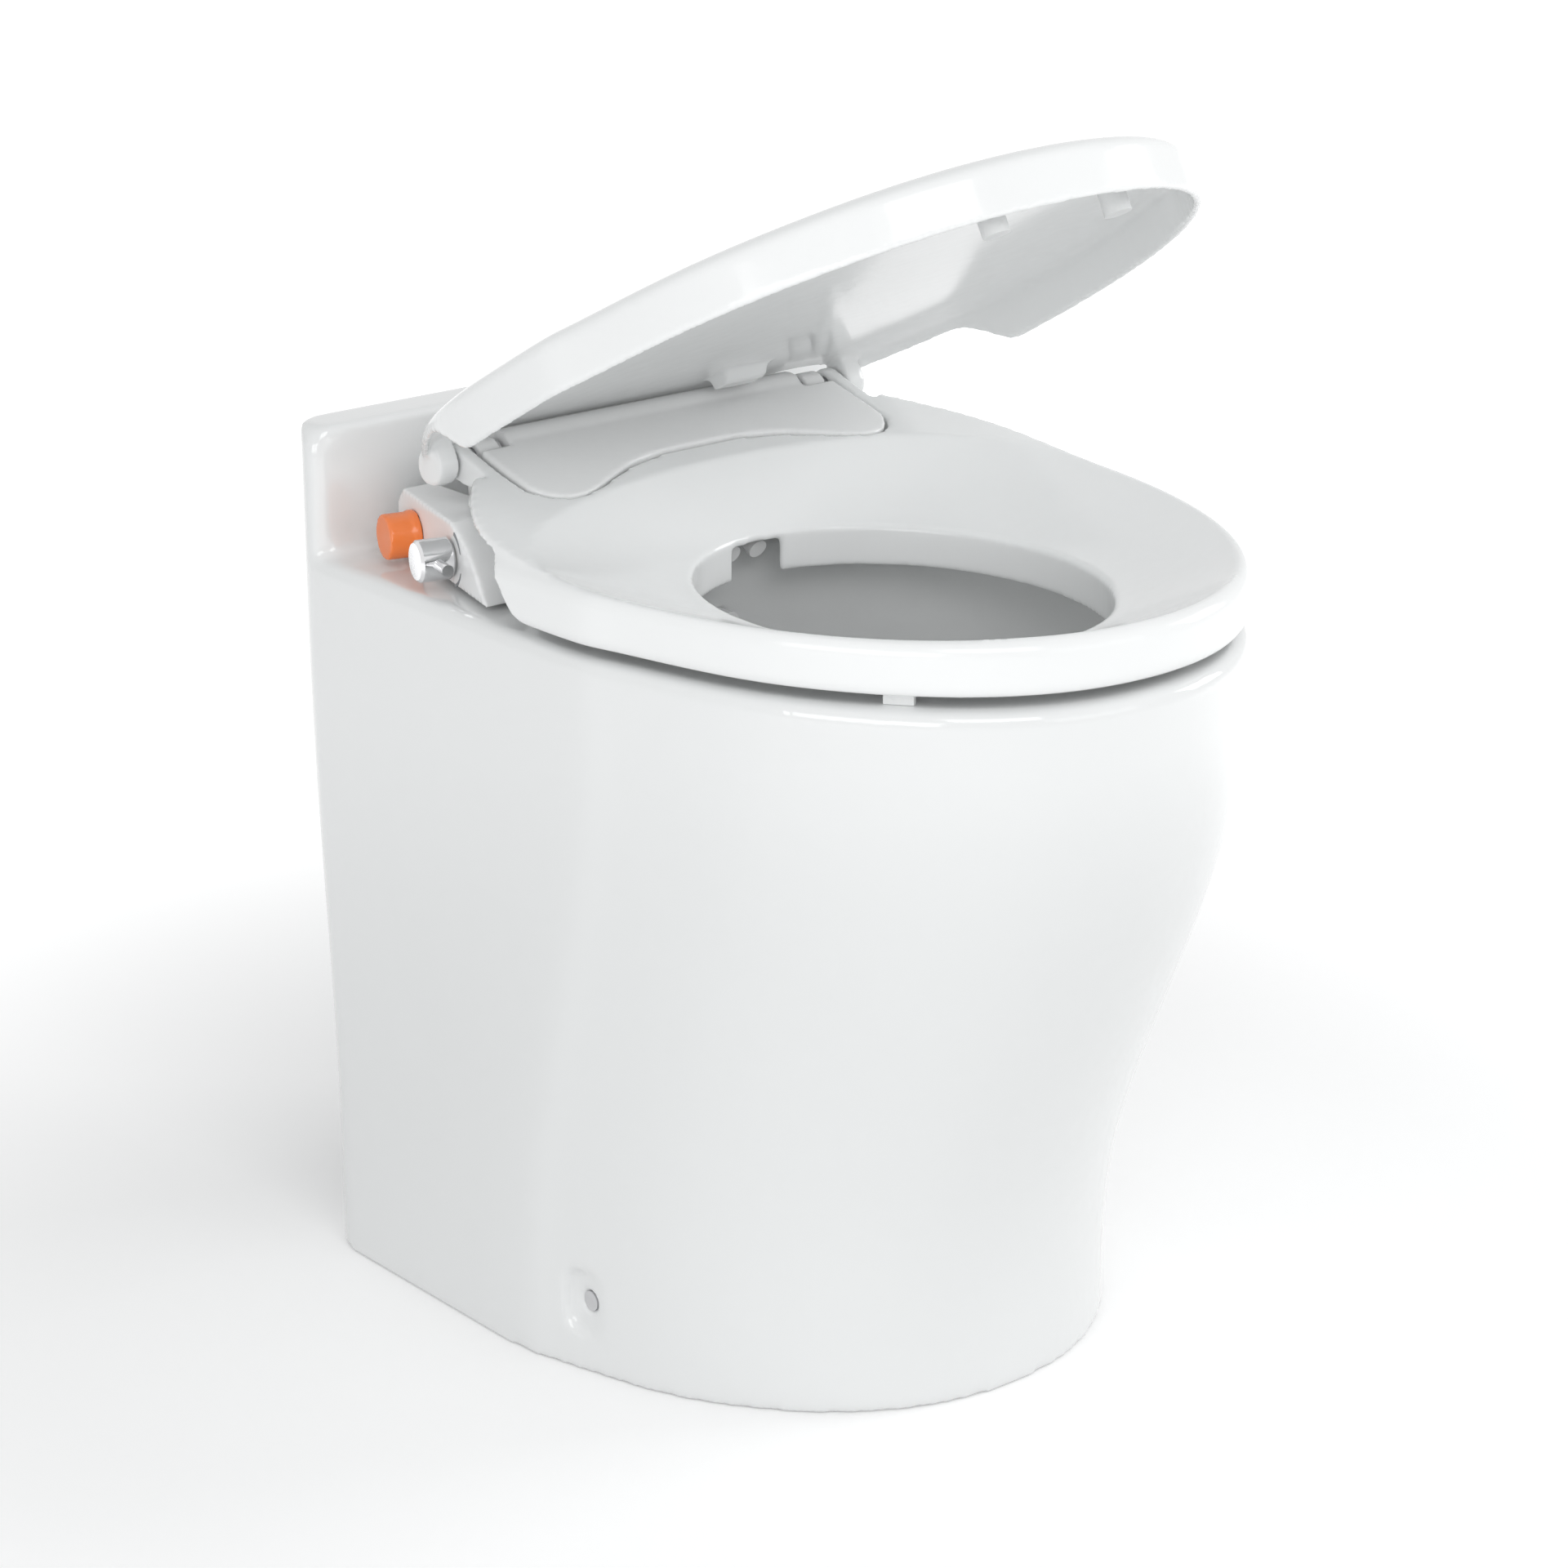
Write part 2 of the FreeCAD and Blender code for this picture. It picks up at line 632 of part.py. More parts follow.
def pedestal_block(low, high, inset):
    heights = [low]
    for step in range(PEDESTAL_STEPS + 1):
        heights.append(mix(FRONT_CURVE_LOW, FRONT_CURVE_HIGH, step / PEDESTAL_STEPS))
    heights.append(high)
    return loft([pedestal_outline(z, inset) for z in heights])


def ledge():
    side = RIM_HALF_WIDTH
    y = LEDGE_FRONT_Y
    low = DECK_UNDERSIDE
    shoulder = LEDGE_TOP - LEDGE_END_RADIUS
    left_end = Vector(-side + LEDGE_END_RADIUS, y, LEDGE_TOP)
    right_start = Vector(side - LEDGE_END_RADIUS, y, LEDGE_TOP)
    edges = [line(Vector(-side, y, low), Vector(-side, y, shoulder))]
    edges.append(corner_arc(Vector(-side, y, shoulder), Vector(-side, y, LEDGE_TOP), left_end))
    edges.append(line(left_end, right_start))
    edges.append(corner_arc(right_start, Vector(side, y, LEDGE_TOP), Vector(side, y, shoulder)))
    edges.append(line(Vector(side, y, shoulder), Vector(side, y, low)))
    edges.append(line(Vector(side, y, low), Vector(-side, y, low)))
    block = Part.Face(Part.Wire(edges)).extrude(Vector(0, LEDGE_DEPTH, 0))
    rounded = []
    for edge in block.Edges:
        if edge.BoundBox.YLength < TOUCH and edge.BoundBox.ZMax > low + PAST:
            rounded.append(edge)
    block = block.makeFillet(LEDGE_EDGE_RADIUS, rounded)
    footprint = Part.Face(pedestal_outline(RIM_HEIGHT, 0)).extrude(Vector(0, 0, LEDGE_HEIGHT + PAST))
    footprint.translate(Vector(0, 0, low - RIM_HEIGHT))
    return block.common(footprint)


def deck_cove():
    half_width = RIM_HALF_WIDTH - LEDGE_EDGE_RADIUS
    span = (-half_width, half_width)
    front = LEDGE_FRONT_Y - DECK_COVE_RADIUS
    top = RIM_HEIGHT + DECK_COVE_RADIUS
    strip = box(span, (front, LEDGE_FRONT_Y), (RIM_HEIGHT, top))
    return strip.cut(rod(DECK_COVE_RADIUS, Vector(-FAR, front, top), X_AXIS, 2 * FAR))


def bowl_section(share, grow):
    # half-width, half-length and middle of the bowl at one share of its depth
    fullness = 1 - share * share
    half_length = mix(SUMP_HALF_LENGTH, (BOWL_BACK_Y - BOWL_FRONT_Y) / 2, fullness) + grow
    half_width = mix(SUMP_HALF_WIDTH, BOWL_HALF_WIDTH, fullness) + grow
    return half_width, half_length, mix((BOWL_FRONT_Y + BOWL_BACK_Y) / 2, SUMP_Y, share)


def bowl_back_y(z, grow):
    half_length, middle_y = bowl_section((RIM_HEIGHT - z) / (BOWL_DEPTH + grow), grow)[1:]
    return middle_y + half_length


def bowl_block(grow):
    wires = []
    for step in range(BOWL_STEPS + 1):
        share = step / BOWL_STEPS
        half_width, half_length, middle_y = bowl_section(share, grow)
        z = mix(RIM_HEIGHT, BOWL_FLOOR - grow, share)
        wires.append(ellipse_wire(half_width, half_length, middle_y, z))
    return loft(wires)


def fixing_recess():
    half_width = FIXING_RECESS_WIDTH / 2
    half_rise = FIXING_RECESS_HEIGHT / 2 - half_width
    floor_x = pedestal_side_x(FIXING_Y, FIXING_HEIGHT) - FIXING_RECESS_DEPTH
    depth = FIXING_RECESS_DEPTH + PAST
    recess = box((floor_x, floor_x + depth), (FIXING_Y - half_width, FIXING_Y + half_width),
                 (FIXING_HEIGHT - half_rise, FIXING_HEIGHT + half_rise))
    for z in (FIXING_HEIGHT - half_rise, FIXING_HEIGHT + half_rise):
        recess = recess.fuse(rod(half_width, Vector(floor_x, FIXING_Y, z), X_AXIS, depth))
    hole_radius = FIXING_SCREW_RADIUS + FIXING_HOLE_CLEARANCE
    hole_start = Vector(floor_x - 2 * CERAMIC_WALL, FIXING_Y, FIXING_HEIGHT)
    hole = rod(hole_radius, hole_start, X_AXIS, 2 * CERAMIC_WALL)
    sink_start = Vector(floor_x - FIXING_SINK_DEPTH, FIXING_Y, FIXING_HEIGHT)
    sink = rod(FIXING_HEAD_RADIUS + FIXING_HOLE_CLEARANCE, sink_start, X_AXIS, FIXING_SINK_DEPTH)
    return recess.fuse([hole, sink])


def carrier_lug():
    half = LUG_HEIGHT / 2
    return box((LUG_INNER_X, LUG_OUTER_X), (CARRIER_BACK_Y, BACK_WALL_Y), (LUG_Z - half, LUG_Z + half))


def carrier_screw_places():
    places = []
    for side in (-1, 1):
        for half in (-0.5, 0.5):
            places.append(Vector(side * CARRIER_SCREW_X, BACK_WALL_Y, LUG_Z + half * CARRIER_SCREW_SPACING))
    return places


def ceramic_hollow():
    return pedestal_block(-CERAMIC_WALL, DECK_UNDERSIDE, CERAMIC_WALL)


def ceramic_pedestal():
    # cast shell with the deck and the ledge, open below and at the back
    outer = pedestal_block(0, RIM_HEIGHT, 0)
    outer = outer.makeFillet(RIM_ROUNDING, edges_at_height(outer, RIM_HEIGHT))
    body = outer.cut(ceramic_hollow()).fuse([ledge(), deck_cove()])
    opening = box((-SERVICE_OPENING_HALF_WIDTH, SERVICE_OPENING_HALF_WIDTH),
                  (BACK_WALL_Y - PAST, BACK_Y + PAST), (SERVICE_OPENING_LOW, SERVICE_OPENING_HIGH))
    body = body.cut(opening).fuse([carrier_lug(), other_side(carrier_lug())])
    cuts = [bowl_block(0), fixing_recess(), other_side(fixing_recess())]
    for side in (-1, 1):
        hole_place = Vector(side * SEAT_HOLE_SPACING / 2, HINGE_Y, DECK_UNDERSIDE - PAST)
        cuts.append(rod(SEAT_HOLE_RADIUS, hole_place, Z_AXIS, CERAMIC_WALL + 2 * PAST))
    for place in carrier_screw_places():
        cuts.append(rod(CARRIER_SCREW_RADIUS, place, -Y_AXIS, CARRIER_GAP))
    return body.cut(cuts).removeSplitter()


def ceramic_bowl():
    # cast bowl with its outlet spout, joined to the underside of the deck
    spout_length = SPOUT_END_Y - SUMP_Y
    spout = rod(SPOUT_RADIUS, Vector(0, SUMP_Y, OUTLET_Z), Y_AXIS, spout_length)
    bore = rod(OUTLET_BORE_RADIUS, Vector(0, SUMP_Y, OUTLET_Z), Y_AXIS, spout_length)
    rinse_hole = rod(RINSE_NOZZLE_RADIUS, Vector(0, SUMP_Y, RINSE_Z), Y_AXIS, FAR)
    rinse_hole = rinse_hole.common(box((-FAR, FAR), (SUMP_Y, BOWL_BACK_Y + 2 * BOWL_WALL), (0, FAR)))
    wall = bowl_block(BOWL_WALL).fuse(spout).common(ceramic_hollow())
    return wall.cut([bowl_block(0), bore, rinse_hole]).removeSplitter()


# Floor fixing


def bracket_outer_x():
    front_y = FIXING_Y - BRACKET_WIDTH / 2
    return pedestal_side_x(front_y, FIXING_HEIGHT) - CERAMIC_WALL - BRACKET_GAP


def floor_bracket():
    outer_x = bracket_outer_x()
    y = (FIXING_Y - BRACKET_WIDTH / 2, FIXING_Y + BRACKET_WIDTH / 2)
    top = FIXING_HEIGHT + BRACKET_TOP_MARGIN
    foot = box((outer_x - BRACKET_FOOT, outer_x), y, (0, BRACKET_SHEET))
    upright = box((outer_x - BRACKET_SHEET, outer_x), y, (0, top))
    floor_hole = rod(FLOOR_HOLE_RADIUS, Vector(outer_x - BRACKET_FOOT / 2 - BRACKET_SHEET, FIXING_Y, 0),
                     Z_AXIS, BRACKET_SHEET)
    thread_start = Vector(outer_x - BRACKET_SHEET, FIXING_Y, FIXING_HEIGHT)
    thread = rod(FIXING_SCREW_RADIUS, thread_start, X_AXIS, BRACKET_SHEET)
    return foot.fuse(upright).cut([floor_hole, thread]).removeSplitter()


def fixing_screw():
    floor_x = pedestal_side_x(FIXING_Y, FIXING_HEIGHT) - FIXING_RECESS_DEPTH - FIXING_SINK_DEPTH
    inner_x = bracket_outer_x() - 2 * BRACKET_SHEET
    shank = rod(FIXING_SCREW_RADIUS, Vector(inner_x, FIXING_Y, FIXING_HEIGHT), X_AXIS, floor_x - inner_x)
    head = rod(FIXING_HEAD_RADIUS, Vector(floor_x, FIXING_Y, FIXING_HEIGHT), X_AXIS, FIXING_HEAD_HEIGHT)
    return shank.fuse(head).removeSplitter()


# Macerator pump and motor


def outlet_sleeve():
    start = Vector(0, SLEEVE_START_Y, OUTLET_Z)
    return tube(SPOUT_RADIUS + SLEEVE_WALL, SPOUT_RADIUS, start, Y_AXIS, SLEEVE_END_Y - SLEEVE_START_Y)


def sleeve_clamps():
    bore = SPOUT_RADIUS + SLEEVE_WALL
    rings = []
    for start_y in (SLEEVE_START_Y + CLAMP_EDGE, SLEEVE_END_Y - CLAMP_EDGE - CLAMP_WIDTH):
        rings.append(tube(bore + CLAMP_THICKNESS, bore, Vector(0, start_y, OUTLET_Z), Y_AXIS, CLAMP_WIDTH))
    return Part.makeCompound(rings)


def cover_screw_places():
    radius = CHAMBER_RADIUS - CHAMBER_WALL / 2
    places = []
    for index in range(COVER_SCREW_COUNT):
        angle = 2 * math.pi * (index + 0.5) / COVER_SCREW_COUNT
        places.append(on_shaft(0) + Vector(0, radius * math.cos(angle), radius * math.sin(angle)))
    return places


def macerator_chamber():
    body = rod(CHAMBER_RADIUS, on_shaft(CHAMBER_BACK_X), X_AXIS, CHAMBER_LENGTH)
    boss = rod(MOTOR_RADIUS, on_shaft(MOTOR_FRONT_X), X_AXIS, BEARING_BOSS_LENGTH)
    inlet = rod(SPOUT_RADIUS, Vector(0, INLET_END_Y, PUMP_Z), Y_AXIS, PUMP_Y - INLET_END_Y)
    stub_start = Vector(DISCHARGE_X, PUMP_Y, PUMP_Z)
    stub = rod(DISCHARGE_STUB_RADIUS, stub_start, Z_AXIS, DISCHARGE_STUB_TOP - PUMP_Z)
    body = body.fuse([boss, inlet, stub])
    inside_x = CHAMBER_BACK_X + CHAMBER_BACK_WALL
    cuts = [rod(CHAMBER_BORE_RADIUS, on_shaft(inside_x), X_AXIS, CHAMBER_FRONT_X - inside_x)]
    cuts.append(rod(OUTLET_BORE_RADIUS, Vector(0, INLET_END_Y, PUMP_Z), Y_AXIS, PUMP_Y - INLET_END_Y))
    cuts.append(rod(DISCHARGE_BORE_RADIUS, stub_start, Z_AXIS, DISCHARGE_STUB_TOP - PUMP_Z))
    cuts.append(rod(FRONT_BEARING_RADIUS, on_shaft(MOTOR_FRONT_X), X_AXIS, BEARING_WIDTH))
    cuts.append(rod(SEAL_RADIUS, on_shaft(MOTOR_FRONT_X), X_AXIS, inside_x - MOTOR_FRONT_X))
    for place in cover_screw_places():
        start = place + X_AXIS * (CHAMBER_FRONT_X - COVER_SCREW_BITE)
        cuts.append(rod(COVER_SCREW_RADIUS, start, X_AXIS, COVER_SCREW_BITE))
    return body.cut(cuts).removeSplitter()


def chamber_cover():
    plate = rod(CHAMBER_RADIUS, on_shaft(CHAMBER_FRONT_X), X_AXIS, CHAMBER_COVER_THICKNESS)
    holes = []
    for place in cover_screw_places():
        start = place + X_AXIS * CHAMBER_FRONT_X
        holes.append(rod(COVER_SCREW_RADIUS, start, X_AXIS, CHAMBER_COVER_THICKNESS))
    return plate.cut(holes)


def cover_screws():
    screws = []
    head_x = CHAMBER_FRONT_X + CHAMBER_COVER_THICKNESS
    for place in cover_screw_places():
        start = place + X_AXIS * (CHAMBER_FRONT_X - COVER_SCREW_BITE)
        shank = rod(COVER_SCREW_RADIUS, start, X_AXIS, COVER_SCREW_BITE + CHAMBER_COVER_THICKNESS)
        head = rod(COVER_SCREW_HEAD_RADIUS, place + X_AXIS * head_x, X_AXIS, COVER_SCREW_HEAD_HEIGHT)
        screws.append(shank.fuse(head).removeSplitter())
    return Part.makeCompound(screws)


def motor_can():
    return tube(MOTOR_RADIUS, MOTOR_BORE_RADIUS, on_shaft(MOTOR_BACK_X), X_AXIS, MOTOR_LENGTH)


def motor_end_cap():
    disc = rod(MOTOR_RADIUS, on_shaft(MOTOR_BACK_X - MOTOR_END_THICKNESS), X_AXIS, MOTOR_END_THICKNESS)
    seat_radius = REAR_BEARING_RADIUS + BEARING_SEAT_WALL
    return disc.fuse(tube(seat_radius, REAR_BEARING_RADIUS, on_shaft(MOTOR_BACK_X), X_AXIS, BEARING_WIDTH))


def shaft_bearing(radius, start_x, width):
    return tube(radius, SHAFT_RADIUS + RUNNING_CLEARANCE, on_shaft(start_x), X_AXIS, width)


def shaft_seal():
    start_x = MOTOR_FRONT_X + BEARING_WIDTH
    return shaft_bearing(SEAL_RADIUS, start_x, CHAMBER_BACK_X + CHAMBER_BACK_WALL - start_x)


def stator_core():
    return tube(MOTOR_BORE_RADIUS, ROTOR_RADIUS + AIR_GAP, on_shaft(CORE_START_X), X_AXIS, CORE_LENGTH)


def rotor_core():
    return tube(ROTOR_RADIUS, SHAFT_RADIUS, on_shaft(CORE_START_X), X_AXIS, CORE_LENGTH)


def motor_shaft():
    start_x = MOTOR_BACK_X + END_PLAY
    return rod(SHAFT_RADIUS, on_shaft(start_x), X_AXIS, SHAFT_NOSE - start_x)


def turned_on_shaft(blade, count):
    copies = []
    for index in range(count):
        copy = blade.copy()
        copy.rotate(on_shaft(0), X_AXIS, FULL_TURN * index / count)
        copies.append(copy)
    return copies


def impeller():
    start_x = CHAMBER_BACK_X + CHAMBER_BACK_WALL + IMPELLER_GAP
    radius = CHAMBER_BORE_RADIUS - IMPELLER_GAP
    disc = rod(radius, on_shaft(start_x), X_AXIS, IMPELLER_DISC)
    hub = rod(IMPELLER_HUB_RADIUS, on_shaft(start_x), X_AXIS, IMPELLER_WIDTH)
    half = VANE_THICKNESS / 2
    vane = box((start_x, start_x + IMPELLER_WIDTH), (PUMP_Y - half, PUMP_Y + half),
               (PUMP_Z, PUMP_Z + radius - IMPELLER_GAP))
    wheel = disc.fuse([hub] + turned_on_shaft(vane, VANE_COUNT))
    return wheel.cut(rod(SHAFT_RADIUS, on_shaft(start_x), X_AXIS, IMPELLER_WIDTH)).removeSplitter()


def cutter():
    radius = CHAMBER_BORE_RADIUS - IMPELLER_GAP
    hub = rod(CUTTER_HUB_RADIUS, on_shaft(CUTTER_START_X), X_AXIS, CUTTER_WIDTH)
    half = CUTTER_BLADE_HEIGHT / 2
    tip_y = PUMP_Y - half
    blade = prism([Vector(CUTTER_START_X, tip_y, PUMP_Z), Vector(CUTTER_START_X, PUMP_Y + half, PUMP_Z),
                   Vector(CUTTER_START_X, PUMP_Y, PUMP_Z + radius)], X_AXIS * CUTTER_WIDTH)
    wheel = hub.fuse(turned_on_shaft(blade, CUTTER_BLADE_COUNT))
    return wheel.cut(rod(SHAFT_RADIUS, on_shaft(CUTTER_START_X), X_AXIS, CUTTER_WIDTH)).removeSplitter()


def cradle_span():
    back_x = MOTOR_BACK_X + CRADLE_SADDLE_INSET
    front_x = CHAMBER_FRONT_X - CRADLE_SADDLE_INSET
    return back_x, front_x


def cradle_saddle(x, radius):
    half = CRADLE_DEPTH / 2
    upright = box((x, x + CRADLE_SADDLE_THICKNESS), (PUMP_Y - half, PUMP_Y + half),
                  (CRADLE_TOP, PUMP_Z - SPOUT_RADIUS - END_PLAY))
    return upright.cut(rod(radius, on_shaft(x), X_AXIS, CRADLE_SADDLE_THICKNESS))


def pump_cradle():
    back_x, front_x = cradle_span()
    half = CRADLE_DEPTH / 2
    x = (back_x - CRADLE_END_MARGIN, front_x + CRADLE_SADDLE_THICKNESS + CRADLE_END_MARGIN)
    plate = box(x, (PUMP_Y - half, PUMP_Y + half), (CRADLE_FOOT_HEIGHT, CRADLE_TOP))
    saddles = [cradle_saddle(back_x, MOTOR_RADIUS), cradle_saddle(front_x, CHAMBER_RADIUS)]
    return plate.fuse(saddles).removeSplitter()


def cradle_feet():
    back_x, front_x = cradle_span()
    feet = []
    for x in (back_x, front_x + CRADLE_SADDLE_THICKNESS):
        for side in (-1, 1):
            y = PUMP_Y + side * (CRADLE_DEPTH / 2 - CRADLE_FOOT_RADIUS)
            feet.append(rod(CRADLE_FOOT_RADIUS, Vector(x, y, 0), Z_AXIS, CRADLE_FOOT_HEIGHT))
    return Part.makeCompound(feet)


# Discharge


def discharge_route():
    start = Vector(DISCHARGE_X, PUMP_Y, DISCHARGE_STUB_TOP)
    corner = Vector(DISCHARGE_X, PUMP_Y, SPIGOT_Z)
    return [start, corner, Vector(DISCHARGE_X, SPIGOT_END_Y, SPIGOT_Z)]


def discharge_elbow():
    route = discharge_route()
    pipe = bent_rod(route, ELBOW_BEND_RADIUS, DISCHARGE_SPIGOT_RADIUS)
    socket_radius = DISCHARGE_STUB_RADIUS + ELBOW_SOCKET_WALL
    socket_start = route[0] - Z_AXIS * (DISCHARGE_STUB_HEIGHT - ELBOW_SOCKET_WALL)
    socket = rod(socket_radius, socket_start, Z_AXIS, DISCHARGE_STUB_HEIGHT)
    bead_start = Vector(DISCHARGE_X, CARRIER_BACK_Y, SPIGOT_Z)
    body = pipe.fuse([socket, rod(SPIGOT_BEAD_RADIUS, bead_start, Y_AXIS, SPIGOT_BEAD_WIDTH)])
    stub_space = rod(DISCHARGE_STUB_RADIUS, socket_start, Z_AXIS, DISCHARGE_STUB_HEIGHT - ELBOW_SOCKET_WALL)
    return body.cut([bent_rod(route, ELBOW_BEND_RADIUS, DISCHARGE_BORE_RADIUS), stub_space]).removeSplitter()


def duckbill_body(shrink):
    radius = DISCHARGE_BORE_RADIUS - shrink
    low = DISCHARGE_STUB_TOP - DUCKBILL_LENGTH
    round_end = Part.Wire(Part.makeCircle(radius, Vector(DISCHARGE_X, PUMP_Y, low), Z_AXIS))
    slot = DUCKBILL_LIP + DUCKBILL_WALL - shrink
    middle = Vector(DISCHARGE_X, PUMP_Y, DISCHARGE_STUB_TOP)
    flat_end = Part.Wire(Part.Ellipse(middle + X_AXIS * radius, middle + Y_AXIS * slot, middle).toShape())
    return straight_loft([round_end, flat_end])


def duckbill_valve():
    return duckbill_body(0).cut(duckbill_body(DUCKBILL_WALL))


# Carrier plate, control box and rinse valve


def carrier_plate():
    plate = box((-CARRIER_HALF_WIDTH, CARRIER_HALF_WIDTH), (CARRIER_FRONT_Y, CARRIER_BACK_Y),
                (CARRIER_LOW, CARRIER_HIGH))
    spigot_hole_radius = SPIGOT_BEAD_RADIUS + GROMMET_CLEARANCE
    cuts = [rod(spigot_hole_radius, Vector(DISCHARGE_X, CARRIER_FRONT_Y, SPIGOT_Z), Y_AXIS, CARRIER_SHEET)]
    inlet_place = Vector(VALVE_X, CARRIER_FRONT_Y, VALVE_LOW + VALVE_SIZE / 2)
    cuts.append(rod(VALVE_NECK_RADIUS, inlet_place, Y_AXIS, CARRIER_SHEET))
    for place in carrier_screw_places():
        start = Vector(place.x, CARRIER_FRONT_Y, place.z)
        cuts.append(rod(CARRIER_SCREW_RADIUS, start, Y_AXIS, CARRIER_SHEET))
    return plate.cut(cuts)


def carrier_screws():
    screws = []
    for place in carrier_screw_places():
        shank = rod(CARRIER_SCREW_RADIUS, place, -Y_AXIS, CARRIER_GAP + CARRIER_SHEET)
        head = rod(CARRIER_SCREW_HEAD_RADIUS, place, Y_AXIS, CARRIER_SCREW_HEAD_HEIGHT)
        screws.append(shank.fuse(head).removeSplitter())
    return Part.makeCompound(screws)


def control_box_span():
    x = (CONTROL_BOX_X - CONTROL_BOX_WIDTH / 2, CONTROL_BOX_X + CONTROL_BOX_WIDTH / 2)
    y = (CARRIER_FRONT_Y - CONTROL_BOX_DEPTH, CARRIER_FRONT_Y)
    return x, y, (CONTROL_BOX_LOW, CONTROL_BOX_LOW + CONTROL_BOX_HEIGHT)


def control_box():
    x, y, z = control_box_span()
    wall = CONTROL_BOX_WALL
    inside = box((x[0] + wall, x[1] - wall), (y[0], y[1] - wall), (z[0] + wall, z[1] - wall))
    return box(x, y, z).cut(inside)


def control_box_lid():
    x, y, z = control_box_span()
    return box(x, (y[0] - CONTROL_LID_THICKNESS, y[0]), z)


def motor_lead():
    low = PUMP_Z + MOTOR_RADIUS
    return rod(MOTOR_LEAD_RADIUS, Vector(CONTROL_BOX_X, PUMP_Y, low), Z_AXIS, CONTROL_BOX_LOW - low)


def valve_lead():
    start = Vector(CONTROL_BOX_X + CONTROL_BOX_WIDTH / 2, VALVE_Y, VALVE_LOW - 2 * VALVE_LEAD_RADIUS)
    lead = rod(VALVE_LEAD_RADIUS, start, X_AXIS, VALVE_X - start.x)
    return lead.cut(rod(COIL_RADIUS, Vector(VALVE_X, VALVE_Y, COIL_LOW), Z_AXIS, COIL_HEIGHT))


def rinse_valve_body():
    half = VALVE_SIZE / 2
    block = box((VALVE_X - half, VALVE_X + half), (CARRIER_FRONT_Y - VALVE_DEPTH, CARRIER_FRONT_Y),
                (VALVE_LOW, VALVE_TOP))
    inlet_start = Vector(VALVE_X, CARRIER_FRONT_Y, VALVE_LOW + half)
    inlet_length = SPIGOT_END_Y - CARRIER_FRONT_Y
    inlet = tube(VALVE_INLET_RADIUS, VALVE_INLET_BORE, inlet_start, Y_AXIS, inlet_length)
    neck = tube(VALVE_NECK_RADIUS, VALVE_INLET_BORE, inlet_start, Y_AXIS, CARRIER_SHEET + VALVE_NUT_HEIGHT)
    outlet = rod(VALVE_OUTLET_RADIUS, Vector(VALVE_X, VALVE_Y, VALVE_TOP), Z_AXIS, VALVE_OUTLET_HEIGHT)
    cuts = [rod(PLUNGER_BORE_RADIUS, Vector(VALVE_X, VALVE_Y, VALVE_LOW), Z_AXIS, PLUNGER_ENTRY)]
    bore_start = Vector(VALVE_X, VALVE_Y, VALVE_LOW)
    cuts.append(rod(VALVE_OUTLET_BORE, bore_start, Z_AXIS, VALVE_SIZE + VALVE_OUTLET_HEIGHT))
    cuts.append(rod(VALVE_INLET_BORE, Vector(VALVE_X, VALVE_Y, VALVE_LOW + half), Y_AXIS, VALVE_DEPTH / 2))
    return block.fuse([inlet, neck, outlet]).cut(cuts).removeSplitter()


def rinse_valve_nut():
    points = []
    z = VALVE_LOW + VALVE_SIZE / 2
    for index in range(NUT_SIDES):
        angle = 2 * math.pi * index / NUT_SIDES
        across = VALVE_NUT_RADIUS * math.cos(angle)
        points.append(Vector(VALVE_X + across, CARRIER_BACK_Y, z + VALVE_NUT_RADIUS * math.sin(angle)))
    nut = prism(points, Y_AXIS * VALVE_NUT_HEIGHT)
    return nut.cut(rod(VALVE_NECK_RADIUS, Vector(VALVE_X, CARRIER_BACK_Y, z), Y_AXIS, VALVE_NUT_HEIGHT))


def rinse_coil():
    coil = rod(COIL_RADIUS, Vector(VALVE_X, VALVE_Y, COIL_LOW), Z_AXIS, COIL_HEIGHT)
    bore_start = Vector(VALVE_X, VALVE_Y, COIL_LOW + COIL_FLOOR)
    return coil.cut(rod(PLUNGER_BORE_RADIUS, bore_start, Z_AXIS, COIL_HEIGHT - COIL_FLOOR))


def rinse_plunger():
    return rod(PLUNGER_RADIUS, Vector(VALVE_X, VALVE_Y, PLUNGER_LOW), Z_AXIS, PLUNGER_LENGTH)


def plunger_spring():
    start = Vector(VALVE_X, VALVE_Y, COIL_LOW + COIL_FLOOR)
    return tube(SPRING_RADIUS, SPRING_BORE_RADIUS, start, Z_AXIS, SPRING_LENGTH)


def rinse_nozzle_tail_y():
    return BOWL_BACK_Y + RINSE_NOZZLE_TAIL


def rinse_hose():
    start = Vector(VALVE_X, VALVE_Y, VALVE_TOP + HOSE_START_RISE)
    end = Vector(0, rinse_nozzle_tail_y() - RINSE_TIP_LENGTH, RINSE_Z)
    route = [start, Vector(VALVE_X, VALVE_Y, RINSE_Z), Vector(0, VALVE_Y, RINSE_Z), end]
    outside = bent_rod(route, HOSE_BEND_RADIUS, VALVE_OUTLET_RADIUS + HOSE_WALL)
    return outside.cut(bent_rod(route, HOSE_BEND_RADIUS, VALVE_OUTLET_RADIUS))


